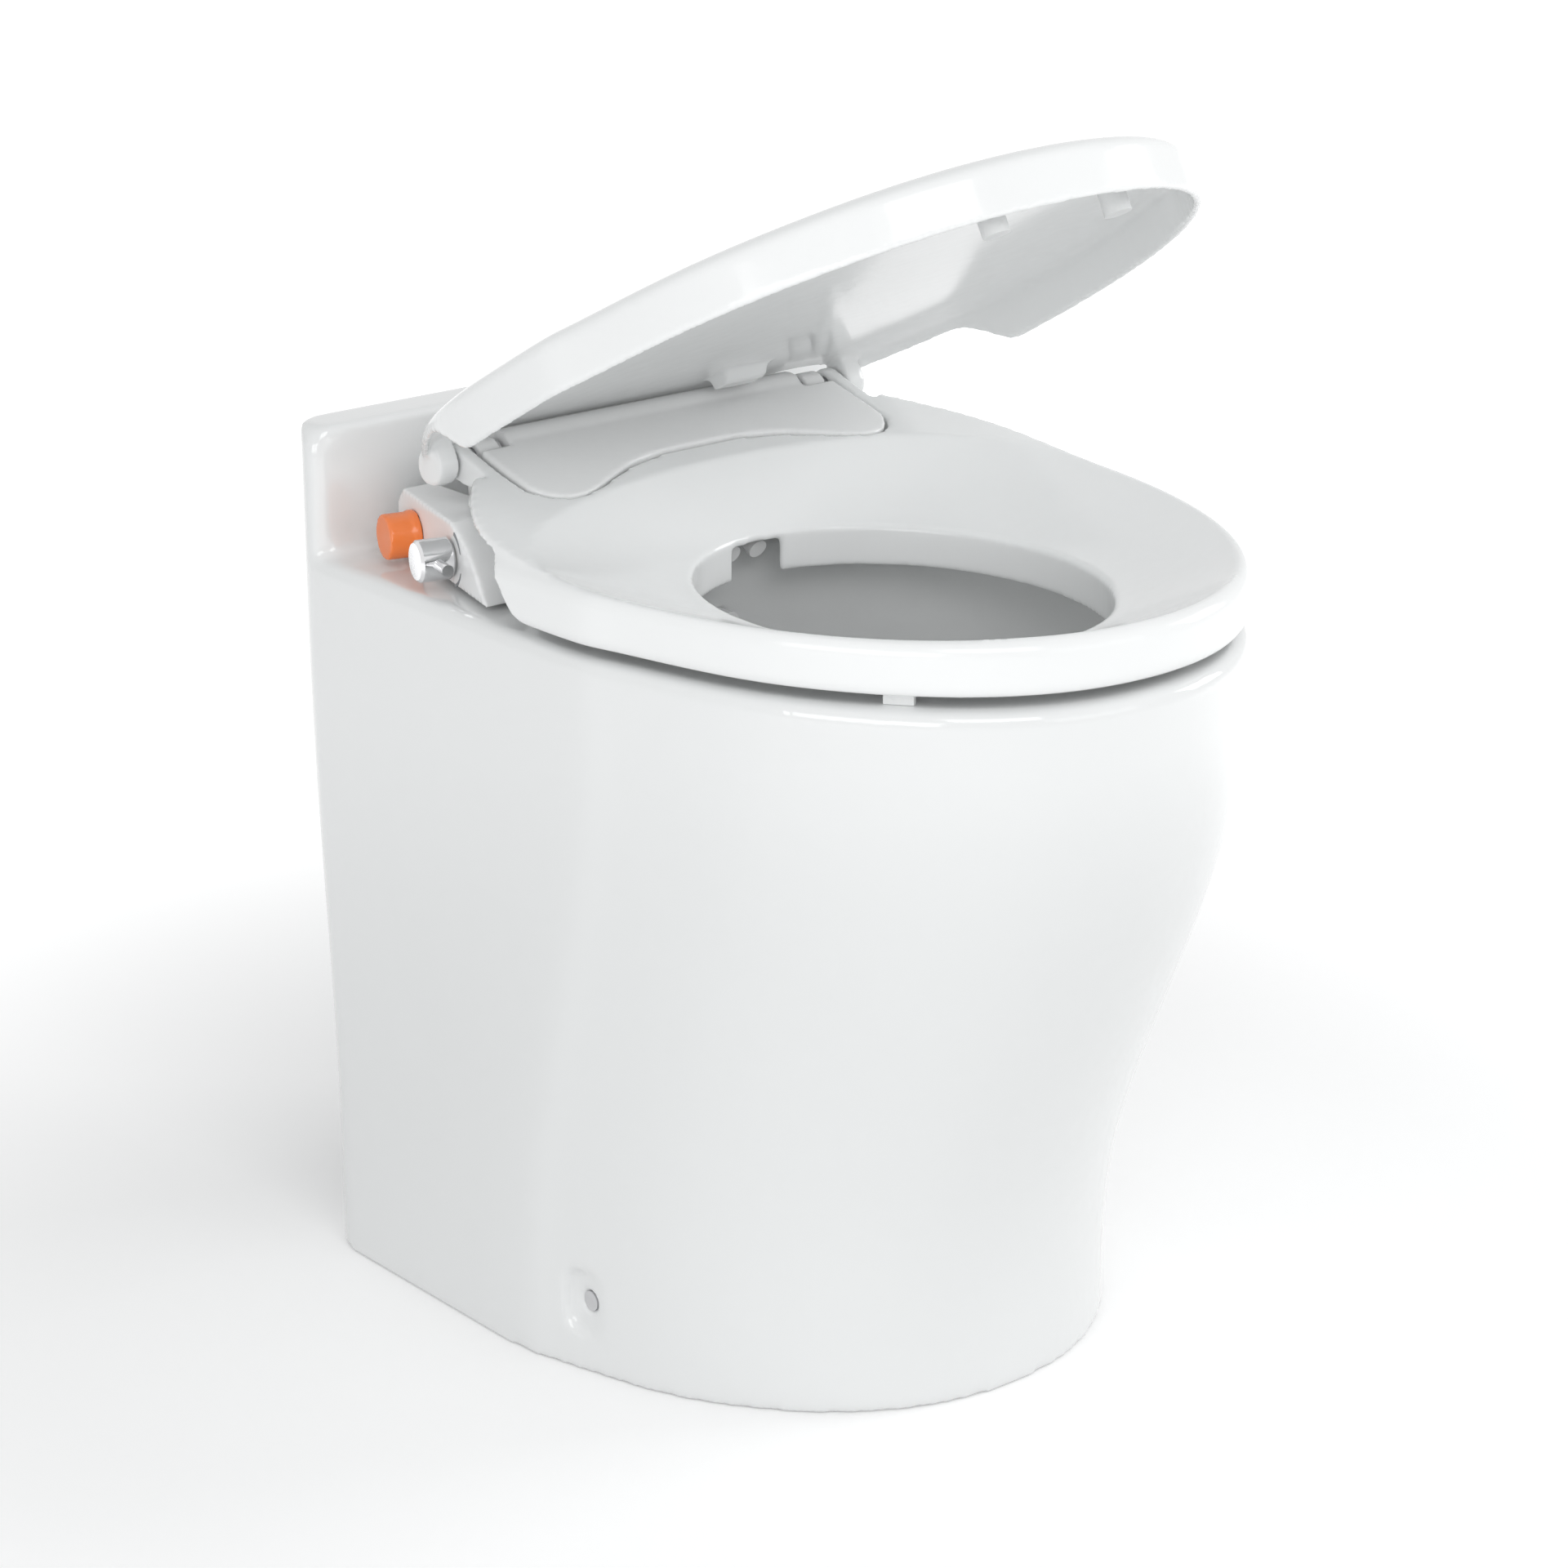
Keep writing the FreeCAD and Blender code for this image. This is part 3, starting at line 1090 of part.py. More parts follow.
def rim_rinse_nozzle():
    tip_y = BOWL_BACK_Y - RINSE_TIP_LENGTH
    flange_y = bowl_back_y(RINSE_Z - RINSE_FLANGE_RADIUS, BOWL_WALL) + RINSE_FLANGE_GAP
    start = Vector(0, tip_y, RINSE_Z)
    stem = rod(RINSE_NOZZLE_RADIUS, start, Y_AXIS, rinse_nozzle_tail_y() - tip_y)
    flange = rod(RINSE_FLANGE_RADIUS, Vector(0, flange_y, RINSE_Z), Y_AXIS, RINSE_FLANGE_THICKNESS)
    bore = rod(RINSE_NOZZLE_BORE, start, Y_AXIS, rinse_nozzle_tail_y() - tip_y)
    return stem.fuse(flange).cut(bore).removeSplitter()


# Bidet housing


def seat_hole_places(z):
    return [Vector(side * SEAT_HOLE_SPACING / 2, HINGE_Y, z) for side in (-1, 1)]


def mounting_plate():
    plate = box((-MOUNT_PLATE_HALF_WIDTH, MOUNT_PLATE_HALF_WIDTH),
                (HINGE_Y - MOUNT_PLATE_FRONT, HINGE_Y + MOUNT_PLATE_BACK), (RIM_HEIGHT, MOUNT_PLATE_TOP))
    return plate.cut([rod(MOUNT_BOLT_RADIUS, place, Z_AXIS, MOUNT_PLATE_THICKNESS)
                      for place in seat_hole_places(RIM_HEIGHT)])


def mounting_bolts():
    bolts = []
    tail = CERAMIC_WALL + MOUNT_BOLT_TAIL
    for place in seat_hole_places(MOUNT_PLATE_TOP):
        shank = rod(MOUNT_BOLT_RADIUS, place, -Z_AXIS, MOUNT_PLATE_THICKNESS + tail)
        head = rod(MOUNT_BOLT_HEAD_RADIUS, place, Z_AXIS, MOUNT_BOLT_HEAD_HEIGHT)
        bolts.append(shank.fuse(head).removeSplitter())
    return Part.makeCompound(bolts)


def mounting_nuts():
    nuts = []
    for place in seat_hole_places(DECK_UNDERSIDE):
        nuts.append(tube(MOUNT_NUT_RADIUS, MOUNT_BOLT_RADIUS, place, -Z_AXIS, MOUNT_NUT_HEIGHT))
    return Part.makeCompound(nuts)


def panel_x(y):
    return PANEL_X + (y - KNOB_Y) * math.tan(math.radians(PANEL_FLARE))


def panel_point(y, z):
    return Vector(panel_x(y), y, z)


def pod_side_profile(foot_y, bends, inset, low):
    # side view of a pod: it rises from its front foot to the roof under the hinge
    knee_run, knee_rise, brow_run, brow_drop = bends
    front = foot_y + inset
    back = HOUSING_BACK_Y - inset
    roof = POD_ROOF - inset
    spots = [(front, low), (front + knee_run, MOUNT_PLATE_TOP + knee_rise - inset)]
    spots += [(front + brow_run, roof - brow_drop), (front + POD_ROOF_RUN, roof)]
    spots += [(back - POD_BACK_CHAMFER, roof), (back, roof - POD_BACK_CHAMFER), (back, low)]
    return [Vector(-FAR / 2, y, z) for y, z in spots]


def pod_block(foot_y, bends, inset, low, inner_x):
    front = foot_y + inset
    back = HOUSING_BACK_Y - inset
    wall = inset / math.cos(math.radians(PANEL_FLARE))
    plan = [Vector(-inner_x, front, low), Vector(panel_x(front) + wall, front, low)]
    plan += [Vector(panel_x(back) + wall, back, low), Vector(-inner_x, back, low)]
    return prism(plan, Z_AXIS * FAR).common(prism(pod_side_profile(foot_y, bends, inset, low), X_AXIS * FAR))


def housing_pod():
    # hollow pod at the user's right, with a nose along its outer side that reaches further forward
    pod = pod_block(HOUSING_FRONT_Y, POD_BENDS, 0, MOUNT_PLATE_TOP, POD_INNER_X)
    nose = pod_block(NOSE_FRONT_Y, NOSE_BENDS, 0, MOUNT_PLATE_TOP, NOSE_INNER_X)
    low = HOUSING_FLOOR_TOP
    room = pod_block(HOUSING_FRONT_Y, POD_BENDS, HOUSING_WALL, low, POD_INNER_X - PAST)
    nose_room = pod_block(NOSE_FRONT_Y, NOSE_BENDS, HOUSING_WALL, low, NOSE_INNER_X + HOUSING_WALL)
    return pod.fuse(nose).cut([room, nose_room])


def housing_floor():
    low = MOUNT_PLATE_TOP
    plate = box((-POD_INNER_X, POD_INNER_X), (HOUSING_MIDDLE_Y, HOUSING_BACK_Y), (low, HOUSING_FLOOR_TOP))
    head_radius = MOUNT_BOLT_HEAD_RADIUS + MOUNT_HEAD_CLEARANCE
    return plate.cut([rod(head_radius, place, Z_AXIS, HOUSING_FLOOR) for place in seat_hole_places(low)])


def hinge_tower():
    x = (TOWER_OUTER_X - TOWER_WIDTH, TOWER_OUTER_X)
    top = rod(TOWER_RADIUS, Vector(x[0], HINGE_Y, HINGE_Z), X_AXIS, TOWER_WIDTH)
    stem = box(x, (HINGE_Y - TOWER_FRONT, HINGE_Y + TOWER_BACK), (HOUSING_FLOOR_TOP, HINGE_Z))
    stem = stem.common(box(x, (HINGE_Y - TOWER_RADIUS, FAR), (0, FAR)))
    return top.fuse(stem).cut(rod(HINGE_PIN_RADIUS, Vector(0, HINGE_Y, HINGE_Z), X_AXIS, FAR))


def bidet_base():
    pod = housing_pod()
    depth = 2 * HOUSING_WALL
    bores = [rod(SPINDLE_RADIUS + RUNNING_CLEARANCE, panel_point(KNOB_Y, KNOB_Z), -PANEL_OUT, depth)]
    bores.append(rod(INLET_THREAD_RADIUS, panel_point(INLET_Y, INLET_Z), -PANEL_OUT, depth))
    near_pod = pod.cut(bores)
    base = housing_floor().fuse([near_pod, other_side(pod), hinge_tower(), other_side(hinge_tower())])
    return base.cut(nozzle_guide_block()).removeSplitter()


def cover_reach_curve(grow):
    # how far the cover reaches from the hinge line, across its width
    half = COVER_HALF_WIDTH + grow
    reach = [(-half, COVER_END_REACH), (-COVER_LOBE_X, COVER_LOBE_REACH)]
    reach += [(-COVER_LOBE_X / 2, COVER_HALFWAY_REACH), (0, COVER_MIDDLE_REACH)]
    reach += [(-x, distance) for x, distance in reversed(reach[:3])]
    points = [Vector(x, HINGE_Y - distance - grow, HINGE_Z) for x, distance in reach]
    curve = Part.BSplineCurve()
    curve.interpolate(points)
    return points, curve.toShape()


def cover_barrel(grow):
    # solid of revolution round the hinge line: nothing that swings round it can meet the cover inside
    points, curve = cover_reach_curve(grow)
    left = Vector(points[0].x, HINGE_Y, HINGE_Z)
    right = Vector(points[-1].x, HINGE_Y, HINGE_Z)
    outline = Part.Wire([line(left, points[0]), curve, line(points[-1], right), line(right, left)])
    return Part.Face(outline).revolve(Vector(0, HINGE_Y, HINGE_Z), X_AXIS, FULL_TURN)


def cover_top(y):
    share = (HINGE_Y - y) / COVER_LOBE_REACH
    return HINGE_Z + mix(COVER_TOP_BACK_RISE, -COVER_TOP_FRONT_DROP, share)


def cover_slab(drop, back):
    # space under the sloping top of the cover and in front of the back plane
    front = HINGE_Y - COVER_LOBE_REACH - PAST
    low = HOUSING_FLOOR_TOP
    points = [Vector(-FAR, front, low), Vector(-FAR, back, low)]
    points.append(Vector(-FAR, back, cover_top(back) - drop))
    points.append(Vector(-FAR, front, cover_top(front) - drop))
    return prism(points, X_AXIS * 2 * FAR)


def cover_hinge_roll():
    # round back edge on the hinge line between the two towers, and the web that joins it to the top
    half = HINGE_PIN_INNER_X - HINGE_SIDE_GAP
    roll = rod(COVER_ROLL_RADIUS, Vector(-half, HINGE_Y, HINGE_Z), X_AXIS, 2 * half)
    front = HINGE_Y - COVER_BACK_GAP - COVER_WEB_LAP
    web_low = cover_top(HINGE_Y) - COVER_WEB_THICKNESS
    web = box((-half, half), (front, HINGE_Y), (web_low, HINGE_Z + COVER_ROLL_RADIUS))
    return roll.fuse(web.common(cover_slab(0, HINGE_Y)))


def bidet_cover():
    outside = cover_barrel(0).common(cover_slab(0, HINGE_Y - COVER_BACK_GAP))
    inside = cover_barrel(-COVER_WALL).common(cover_slab(COVER_WALL, HINGE_Y))
    shell = outside.cut(inside).fuse(cover_hinge_roll())
    return shell.cut(nozzle_guide_room()).removeSplitter()


def hinge_pin():
    start = Vector(HINGE_PIN_INNER_X, HINGE_Y, HINGE_Z)
    pin = rod(HINGE_PIN_RADIUS, start, X_AXIS, HINGE_PIN_OUTER_X - HINGE_PIN_INNER_X)
    return pin.fuse(rod(HINGE_HEAD_RADIUS, start, X_AXIS, HINGE_HEAD_THICKNESS)).removeSplitter()


def hinge_bores(reach):
    return rod(HINGE_BORE_RADIUS, Vector(-reach, HINGE_Y, HINGE_Z), X_AXIS, 2 * reach)


# Control knob and water inlet


def mixer_valve():
    face = panel_point(KNOB_Y, KNOB_Z) - PANEL_OUT * HOUSING_WALL
    body = rod(MIXER_RADIUS, face, -PANEL_OUT, MIXER_LENGTH)
    return body.cut(rod(SPINDLE_RADIUS + RUNNING_CLEARANCE, face, -PANEL_OUT, SPINDLE_IN_VALVE + END_PLAY))


def valve_spindle():
    start = panel_point(KNOB_Y, KNOB_Z) - PANEL_OUT * (HOUSING_WALL + SPINDLE_IN_VALVE)
    length = HOUSING_WALL + SPINDLE_IN_VALVE + KNOB_GAP + SPINDLE_IN_KNOB
    return rod(SPINDLE_RADIUS, start, PANEL_OUT, length)


def control_knob():
    start = panel_point(KNOB_Y, KNOB_Z) + PANEL_OUT * KNOB_GAP
    body = rod(KNOB_RADIUS, start, PANEL_OUT, KNOB_LENGTH)
    rims = [edge for edge in body.Edges if edge.Length > KNOB_RADIUS and not edge.isSeam(body.Faces[0])]
    body = body.makeChamfer(KNOB_ROUNDING, rims)
    forward = PANEL_OUT.cross(Z_AXIS).normalize()
    if forward.y > 0:
        forward = forward * -1
    pointer = rod(POINTER_RADIUS, start + PANEL_OUT * KNOB_LENGTH / 2, forward, KNOB_RADIUS + POINTER_LENGTH)
    return body.fuse(pointer).cut(rod(SPINDLE_RADIUS, start, PANEL_OUT, SPINDLE_IN_KNOB)).removeSplitter()


def water_inlet():
    face = panel_point(INLET_Y, INLET_Z)
    inner = face - PANEL_OUT * HOUSING_WALL
    thread = rod(INLET_THREAD_RADIUS, inner, PANEL_OUT, HOUSING_WALL + INLET_THREAD_LENGTH)
    flange = rod(INLET_FLANGE_RADIUS, inner, -PANEL_OUT, INLET_FLANGE_THICKNESS)
    flange = flange.common(box((-FAR, FAR), (-FAR, FAR), (HOUSING_FLOOR_TOP, FAR)))
    bore_start = inner - PANEL_OUT * INLET_FLANGE_THICKNESS
    bore = rod(INLET_BORE_RADIUS, bore_start, PANEL_OUT, FAR / 2)
    return thread.fuse(flange).cut(bore).removeSplitter()


def inlet_cap():
    face = panel_point(INLET_Y, INLET_Z)
    length = INLET_THREAD_LENGTH + CAP_END
    radius = INLET_THREAD_RADIUS + CAP_WALL
    barrel = rod(radius, face, PANEL_OUT, length)
    rim = rod(radius + CAP_RIM_WALL, face, PANEL_OUT, CAP_RIM_WIDTH)
    body = barrel.fuse(rim)
    return body.cut(rod(INLET_THREAD_RADIUS, face, PANEL_OUT, INLET_THREAD_LENGTH)).removeSplitter()


# Wash nozzles


def nozzle_tip(x):
    return Vector(x, NOZZLE_TIP_Y, NOZZLE_TIP_Z)


def nozzle_guide_block():
    start = nozzle_tip(-GUIDE_HALF_WIDTH) + NOZZLE_BACK * GUIDE_START - NOZZLE_UP * GUIDE_HALF_HEIGHT
    across = X_AXIS * 2 * GUIDE_HALF_WIDTH
    up = NOZZLE_UP * 2 * GUIDE_HALF_HEIGHT
    block = prism([start, start + across, start + across + up, start + up], NOZZLE_BACK * GUIDE_LENGTH)
    return block.common(box((-FAR, FAR), (-FAR, FAR), (MOUNT_PLATE_TOP, FAR)))


def nozzle_guide_room():
    # clearance through the cover for the guide and the nozzles behind it
    half = GUIDE_HALF_WIDTH + SWING_GAP
    rise = GUIDE_HALF_HEIGHT + SWING_GAP
    start = nozzle_tip(-half) - NOZZLE_UP * GUIDE_ROOM_BELOW
    across = X_AXIS * 2 * half
    up = NOZZLE_UP * (GUIDE_ROOM_BELOW + rise)
    return prism([start, start + across, start + across + up, start + up], NOZZLE_BACK * NOZZLE_LENGTH)


def nozzle_guide():
    bores = []
    for x in (-NOZZLE_X, NOZZLE_X):
        bores.append(rod(NOZZLE_RADIUS + RUNNING_CLEARANCE, nozzle_tip(x), NOZZLE_BACK, NOZZLE_LENGTH))
    return nozzle_guide_block().cut(bores)


def wash_nozzle(x):
    body = rod(NOZZLE_RADIUS, nozzle_tip(x), NOZZLE_BACK, NOZZLE_LENGTH)
    collar_start = nozzle_tip(x) + NOZZLE_BACK * (NOZZLE_LENGTH - NOZZLE_COLLAR_LENGTH)
    collar = rod(NOZZLE_COLLAR_RADIUS, collar_start, NOZZLE_BACK, NOZZLE_COLLAR_LENGTH)
    return body.fuse(collar).removeSplitter()


# Seat ring and lid share one kind of outline: an egg front and sides that draw in towards the hinge


def drawn_in_outline(half_width, tip_y, waist_y, back_half_width, back_y, hold, inset, z):
    side = half_width - inset
    back_side = back_half_width - inset
    back = back_y - inset
    run = back - waist_y
    bends = [Vector(side, waist_y, z), Vector(side, waist_y + hold * run, z)]
    bends.append(Vector(mix(back_side, side, DRAW_IN_WIDTH), waist_y + DRAW_IN_RUN * run, z))
    bends.append(Vector(back_side, back, z))
    right = Part.BezierCurve()
    right.setPoles(list(reversed(bends)))
    left = Part.BezierCurve()
    left.setPoles([Vector(-spot.x, spot.y, z) for spot in bends])
    edges = [front_curve(side, tip_y + inset, waist_y, z), left.toShape()]
    edges.append(line(Vector(-back_side, back, z), Vector(back_side, back, z)))
    edges.append(right.toShape())
    return Part.Wire(edges)


def seat_outline(inset, z):
    return drawn_in_outline(SEAT_HALF_WIDTH, SEAT_TIP_Y, SEAT_WAIST_Y, SEAT_BACK_HALF_WIDTH, SEAT_BACK_Y,
                            SEAT_SIDE_HOLD, inset, z)


def seat_side_view():
    # the seat seen from the side: level at the front, and climbing to the wings beside the hinge
    pod = pod_side_profile(HOUSING_FRONT_Y, POD_BENDS, -SEAT_POD_GAP, MOUNT_PLATE_TOP)
    far_front = FRONT_Y - PAST
    low = [Vector(-FAR / 2, far_front, SEAT_LOW)]
    slope = pod[1] - pod[0]
    start_share = (SEAT_LOW - pod[0].z) / slope.z
    low.append(pod[0] + slope * start_share)
    low += pod[1:4]
    low.append(Vector(-FAR / 2, SEAT_BACK_Y + PAST, pod[3].z))
    back_top = Vector(-FAR / 2, SEAT_BACK_Y + PAST, SEAT_WING_TOP)
    rise_start = Vector(-FAR / 2, SEAT_RISE_START_Y, SEAT_TOP)
    rise_middle = Vector(-FAR / 2, (SEAT_RISE_START_Y + back_top.y) / 2, SEAT_TOP)
    rise = Part.BezierCurve()
    rise.setPoles([back_top, rise_middle, rise_start])
    front_top = Vector(-FAR / 2, far_front, SEAT_TOP)
    edges = [line(low[index], low[index + 1]) for index in range(len(low) - 1)]
    edges += [line(low[-1], back_top), rise.toShape(), line(rise_start, front_top), line(front_top, low[0])]
    return Part.Face(Part.Wire(edges)).extrude(X_AXIS * FAR)


def egg_wire(half_width, front, waist_y, back, z):
    points = []
    for step in range(EGG_STEPS):
        angle = 2 * math.pi * step / EGG_STEPS
        along = math.cos(angle)
        reach = waist_y - front if along > 0 else back - waist_y
        points.append(Vector(half_width * math.sin(angle), waist_y - reach * along, z))
    curve = Part.BSplineCurve()
    curve.interpolate(Points=points, PeriodicFlag=True)
    return Part.Wire(curve.toShape())


def dish_wire(share, drop):
    # outline of the dished top at one share of the way out from the hole to the crest
    z = mix(SEAT_LIP_TOP, SEAT_TOP, share ** SEAT_DISH_CURVE) - drop
    front = SEAT_HOLE_FRONT_Y - share * SEAT_DISH_FRONT
    back = SEAT_HOLE_BACK_Y + share * SEAT_DISH_BACK
    half_width = SEAT_HOLE_HALF_WIDTH + share * SEAT_DISH_SIDE
    return egg_wire(half_width, front, SEAT_HOLE_MIDDLE_Y + share * SEAT_DISH_SHIFT, back, z)


def seat_dish(drop):
    # space over the dished top, lowered by the drop
    shares = [step / DISH_STEPS for step in range(DISH_STEPS + 1)] + [DISH_RUN_OUT]
    return loft([dish_wire(share, drop) for share in shares])


def seat_hole():
    hole = Part.Face(dish_wire(0, 0)).extrude(Z_AXIS * -SEAT_EDGE_HEIGHT)
    return seat_dish(0).fuse(hole)


def seat_hollow():
    # the seat is a skin that is open below
    high = SEAT_TOP - SEAT_SKIN
    block = Part.Face(seat_outline(SEAT_UNDER_ROUNDING + SEAT_SKIN, high)).extrude(Z_AXIS * -FAR)
    under_front = box((-FAR, FAR), (-FAR, HOUSING_FRONT_Y - SEAT_POD_GAP - SEAT_SKIN), (RIM_HEIGHT, FAR))
    lip = Part.Face(dish_wire(0, 0)).extrude(Z_AXIS * -FAR)
    return block.common(under_front).cut([seat_dish(SEAT_SKIN), lip])


def splash_lip():
    # low wall round the hole that hangs into the bowl, open at the back for the nozzles
    low = RIM_HEIGHT - SEAT_LIP_DROP
    height = Z_AXIS * (SEAT_LIP_TOP - low)
    walls = []
    for grow in (SEAT_SKIN, 0):
        outline = egg_wire(SEAT_HOLE_HALF_WIDTH + grow, SEAT_HOLE_FRONT_Y - grow, SEAT_HOLE_MIDDLE_Y,
                           SEAT_HOLE_BACK_Y + grow, low)
        walls.append(Part.Face(outline).extrude(height))
    notch = box((-SEAT_LIP_NOTCH, SEAT_LIP_NOTCH), (SEAT_HOLE_MIDDLE_Y, FAR), (low, SEAT_LOW))
    return walls[0].cut(walls[1]).cut(notch)


def seat_pocket():
    # room under one wing for the nose of the housing
    front = HINGE_Y - SEAT_POCKET_AHEAD
    half = front + SEAT_POCKET_RUN / 2
    top = SEAT_LOW + SEAT_POCKET_RISE
    back = SEAT_BACK_Y + PAST
    spots = [(front, SEAT_LOW), (half, SEAT_LOW), (half, top), (front + SEAT_POCKET_RUN, top)]
    spots += [(back, top + SEAT_POCKET_BACK_RISE), (back, RIM_HEIGHT), (front, RIM_HEIGHT)]
    points = [Vector(NOSE_INNER_X - SEAT_POD_GAP, y, z) for y, z in spots]
    curve = Part.BezierCurve()
    curve.setPoles(points[:4])
    corners = points[3:] + points[:1]
    edges = [line(corners[index], corners[index + 1]) for index in range(len(corners) - 1)]
    return Part.Face(Part.Wire([curve.toShape()] + edges)).extrude(X_AXIS * FAR)


def seat_top_at(y):
    share = (y - SEAT_RISE_START_Y) / (SEAT_BACK_Y + PAST - SEAT_RISE_START_Y)
    return mix(SEAT_TOP, SEAT_WING_TOP, share * share)


def seat_arm():
    disc = rod(TOWER_RADIUS, Vector(SEAT_ARM_X, HINGE_Y, HINGE_Z), X_AXIS, SEAT_ARM_WIDTH)
    reach = SEAT_BACK_Y - SEAT_WING_INSET - 2 * PAST
    low = POD_ROOF + SEAT_POD_GAP
    spots = [(HINGE_Y, HINGE_Z + TOWER_RADIUS), (HINGE_Y, HINGE_Z - TOWER_RADIUS), (reach, low)]
    spots.append((reach, seat_top_at(reach) - SEAT_ARM_SINK))
    bar = prism([Vector(SEAT_ARM_X, y, z) for y, z in spots], X_AXIS * SEAT_ARM_WIDTH)
    return disc.fuse(bar)


def seat_ring():
    under = rounded_steps(0, SEAT_UNDER_ROUNDING, SEAT_UNDER_ROUNDING)
    levels = [(inset, SEAT_LOW + SEAT_UNDER_ROUNDING - fall) for inset, fall in reversed(under)]
    levels += rounded_steps(SEAT_TOP - SEAT_EDGE_RADIUS, SEAT_EDGE_RADIUS, SEAT_EDGE_RADIUS)[:-1]
    levels.append((SEAT_EDGE_RADIUS, SEAT_TOP + SEAT_EDGE_RADIUS))
    levels.append((SEAT_WING_INSET, SEAT_WING_TOP + SEAT_EDGE_RADIUS))
    body = straight_loft([seat_outline(inset, z) for inset, z in levels]).common(seat_side_view())
    pocket = seat_pocket()
    for space in (seat_hole(), cover_barrel(SWING_GAP), seat_hollow(), pocket, other_side(pocket)):
        body = body.cut(space)
    for piece in (splash_lip(), seat_arm(), other_side(seat_arm())):
        body = body.fuse(piece)
    return body.cut(hinge_bores(HINGE_BORE_END_X))


def seat_bumper_places():
    places = [Vector(SEAT_HALF_WIDTH - SEAT_BUMPER_SIDE_INSET, SEAT_BUMPER_SIDE_Y, 0)]
    share = 1 - (SEAT_BUMPER_FRONT_X / SEAT_HALF_WIDTH) ** OUTLINE_FULLNESS
    front_y = SEAT_WAIST_Y - (SEAT_WAIST_Y - SEAT_TIP_Y) * share ** (1 / OUTLINE_FULLNESS)
    places.append(Vector(SEAT_BUMPER_FRONT_X, front_y + SEAT_BUMPER_FRONT_INSET, 0))
    return places


def seat_bumpers():
    low = RIM_HEIGHT + SEAT_BUMPER_CLEARANCE
    hollow = seat_hollow()
    bumpers = []
    for place in seat_bumper_places():
        post = rod(SEAT_BUMPER_RADIUS, Vector(place.x, place.y, low), Z_AXIS, FAR)
        bumpers += [post.common(hollow), other_side(post).common(hollow)]
    return Part.makeCompound(bumpers)


def lid_outline(inset, z):
    # the back edge stays where it is at every inset
    return drawn_in_outline(LID_HALF_WIDTH, LID_TIP_Y, LID_WAIST_Y, LID_BACK_HALF_WIDTH, LID_BACK_Y + inset,
                            LID_SIDE_HOLD, inset, z)


def lid_shoulder(inset):
    return rounded_steps(LID_LOW + LID_SKIRT, LID_DOME_INSET, LID_DOME_RISE - inset)


def lid_block(inset, low):
    levels = [(0, low)] + lid_shoulder(inset)
    return straight_loft([lid_outline(step + inset, z) for step, z in levels])


def lid_cheek():
    # disc round the hinge that hangs from the lid, with its top rounded like the lid's edge
    low = HINGE_Z - LID_CHEEK_RADIUS
    disc = rod(LID_CHEEK_RADIUS, Vector(LID_CHEEK_X, HINGE_Y, HINGE_Z), X_AXIS, LID_CHEEK_WIDTH)
    root = box((LID_CHEEK_X, LID_BACK_HALF_WIDTH), (HINGE_Y - LID_CHEEK_RADIUS, LID_BACK_Y), (HINGE_Z, FAR))
    profile = [Vector(LID_BACK_HALF_WIDTH - inset, 0, z) for inset, z in lid_shoulder(0)]
    profile += [Vector(profile[-1].x, 0, low), Vector(LID_BACK_HALF_WIDTH, 0, low)]
    return disc.fuse(root).common(prism(profile, Y_AXIS * FAR))


def lid_lug():
    back = HINGE_Y - LID_LUG_SETBACK
    front = back - LID_LUG_DEPTH
    low = LID_CEILING - LID_LUG_HEIGHT
    x = LID_LUG_X - LID_LUG_WIDTH / 2
    high = LID_CEILING + LID_LUG_BITE
    spots = [(front, high), (front + LID_LUG_HEIGHT, low), (back, low), (back, high)]
    return prism([Vector(x, y, z) for y, z in spots], X_AXIS * LID_LUG_WIDTH)


def opened(shape):
    turned = shape.copy()
    turned.rotate(Vector(0, HINGE_Y, HINGE_Z), X_AXIS, -LID_REST_ANGLE)
    return turned


def lid_notch():
    # a sloping step up in the skirt over each wing of the seat, rounded where it starts and where it ends
    slope = math.radians(LID_NOTCH_SLOPE)
    high = LID_LOW + LID_NOTCH_RISE
    lobe_y = HINGE_Y - LID_NOTCH_AHEAD
    lobe_start_y = lobe_y - LID_LOBE_RADIUS * math.tan(slope / 2)
    arch_end_y = lobe_y + LID_NOTCH_RISE / math.tan(slope) + LID_ARCH_RADIUS * math.tan(slope / 2)
    lobe = []
    arch = []
    for turn in (0, slope / 2, slope):
        run = math.sin(turn)
        rise = 1 - math.cos(turn)
        lobe.append(Vector(-FAR, lobe_start_y + LID_LOBE_RADIUS * run, LID_LOW + LID_LOBE_RADIUS * rise))
        arch.append(Vector(-FAR, arch_end_y - LID_ARCH_RADIUS * run, high - LID_ARCH_RADIUS * rise))
    back_high = Vector(-FAR, FAR, high)
    back_low = Vector(-FAR, FAR, 0)
    front_low = Vector(-FAR, lobe_start_y, 0)
    edges = [arc(*lobe), line(lobe[-1], arch[-1]), arc(*reversed(arch)), line(arch[0], back_high)]
    edges += [line(back_high, back_low), line(back_low, front_low), line(front_low, lobe[0])]
    return Part.Face(Part.Wire(edges)).extrude(2 * FAR * X_AXIS)


def lid_tail():
    # strip behind the hinge that closes the gap over the housing's roll
    return box((-LID_TAIL_HALF_WIDTH, LID_TAIL_HALF_WIDTH), (HINGE_Y, HINGE_Y + LID_TAIL_LENGTH),
               (LID_CEILING, LID_CEILING + LID_WALL))


def lid_shell():
    body = lid_block(0, LID_LOW).cut(lid_block(LID_WALL, LID_LOW - PAST)).cut(lid_notch())
    for piece in (lid_cheek(), other_side(lid_cheek()), lid_lug(), lid_tail()):
        body = body.fuse(piece)
    return opened(body.cut(hinge_bores(HINGE_BORE_END_X)))


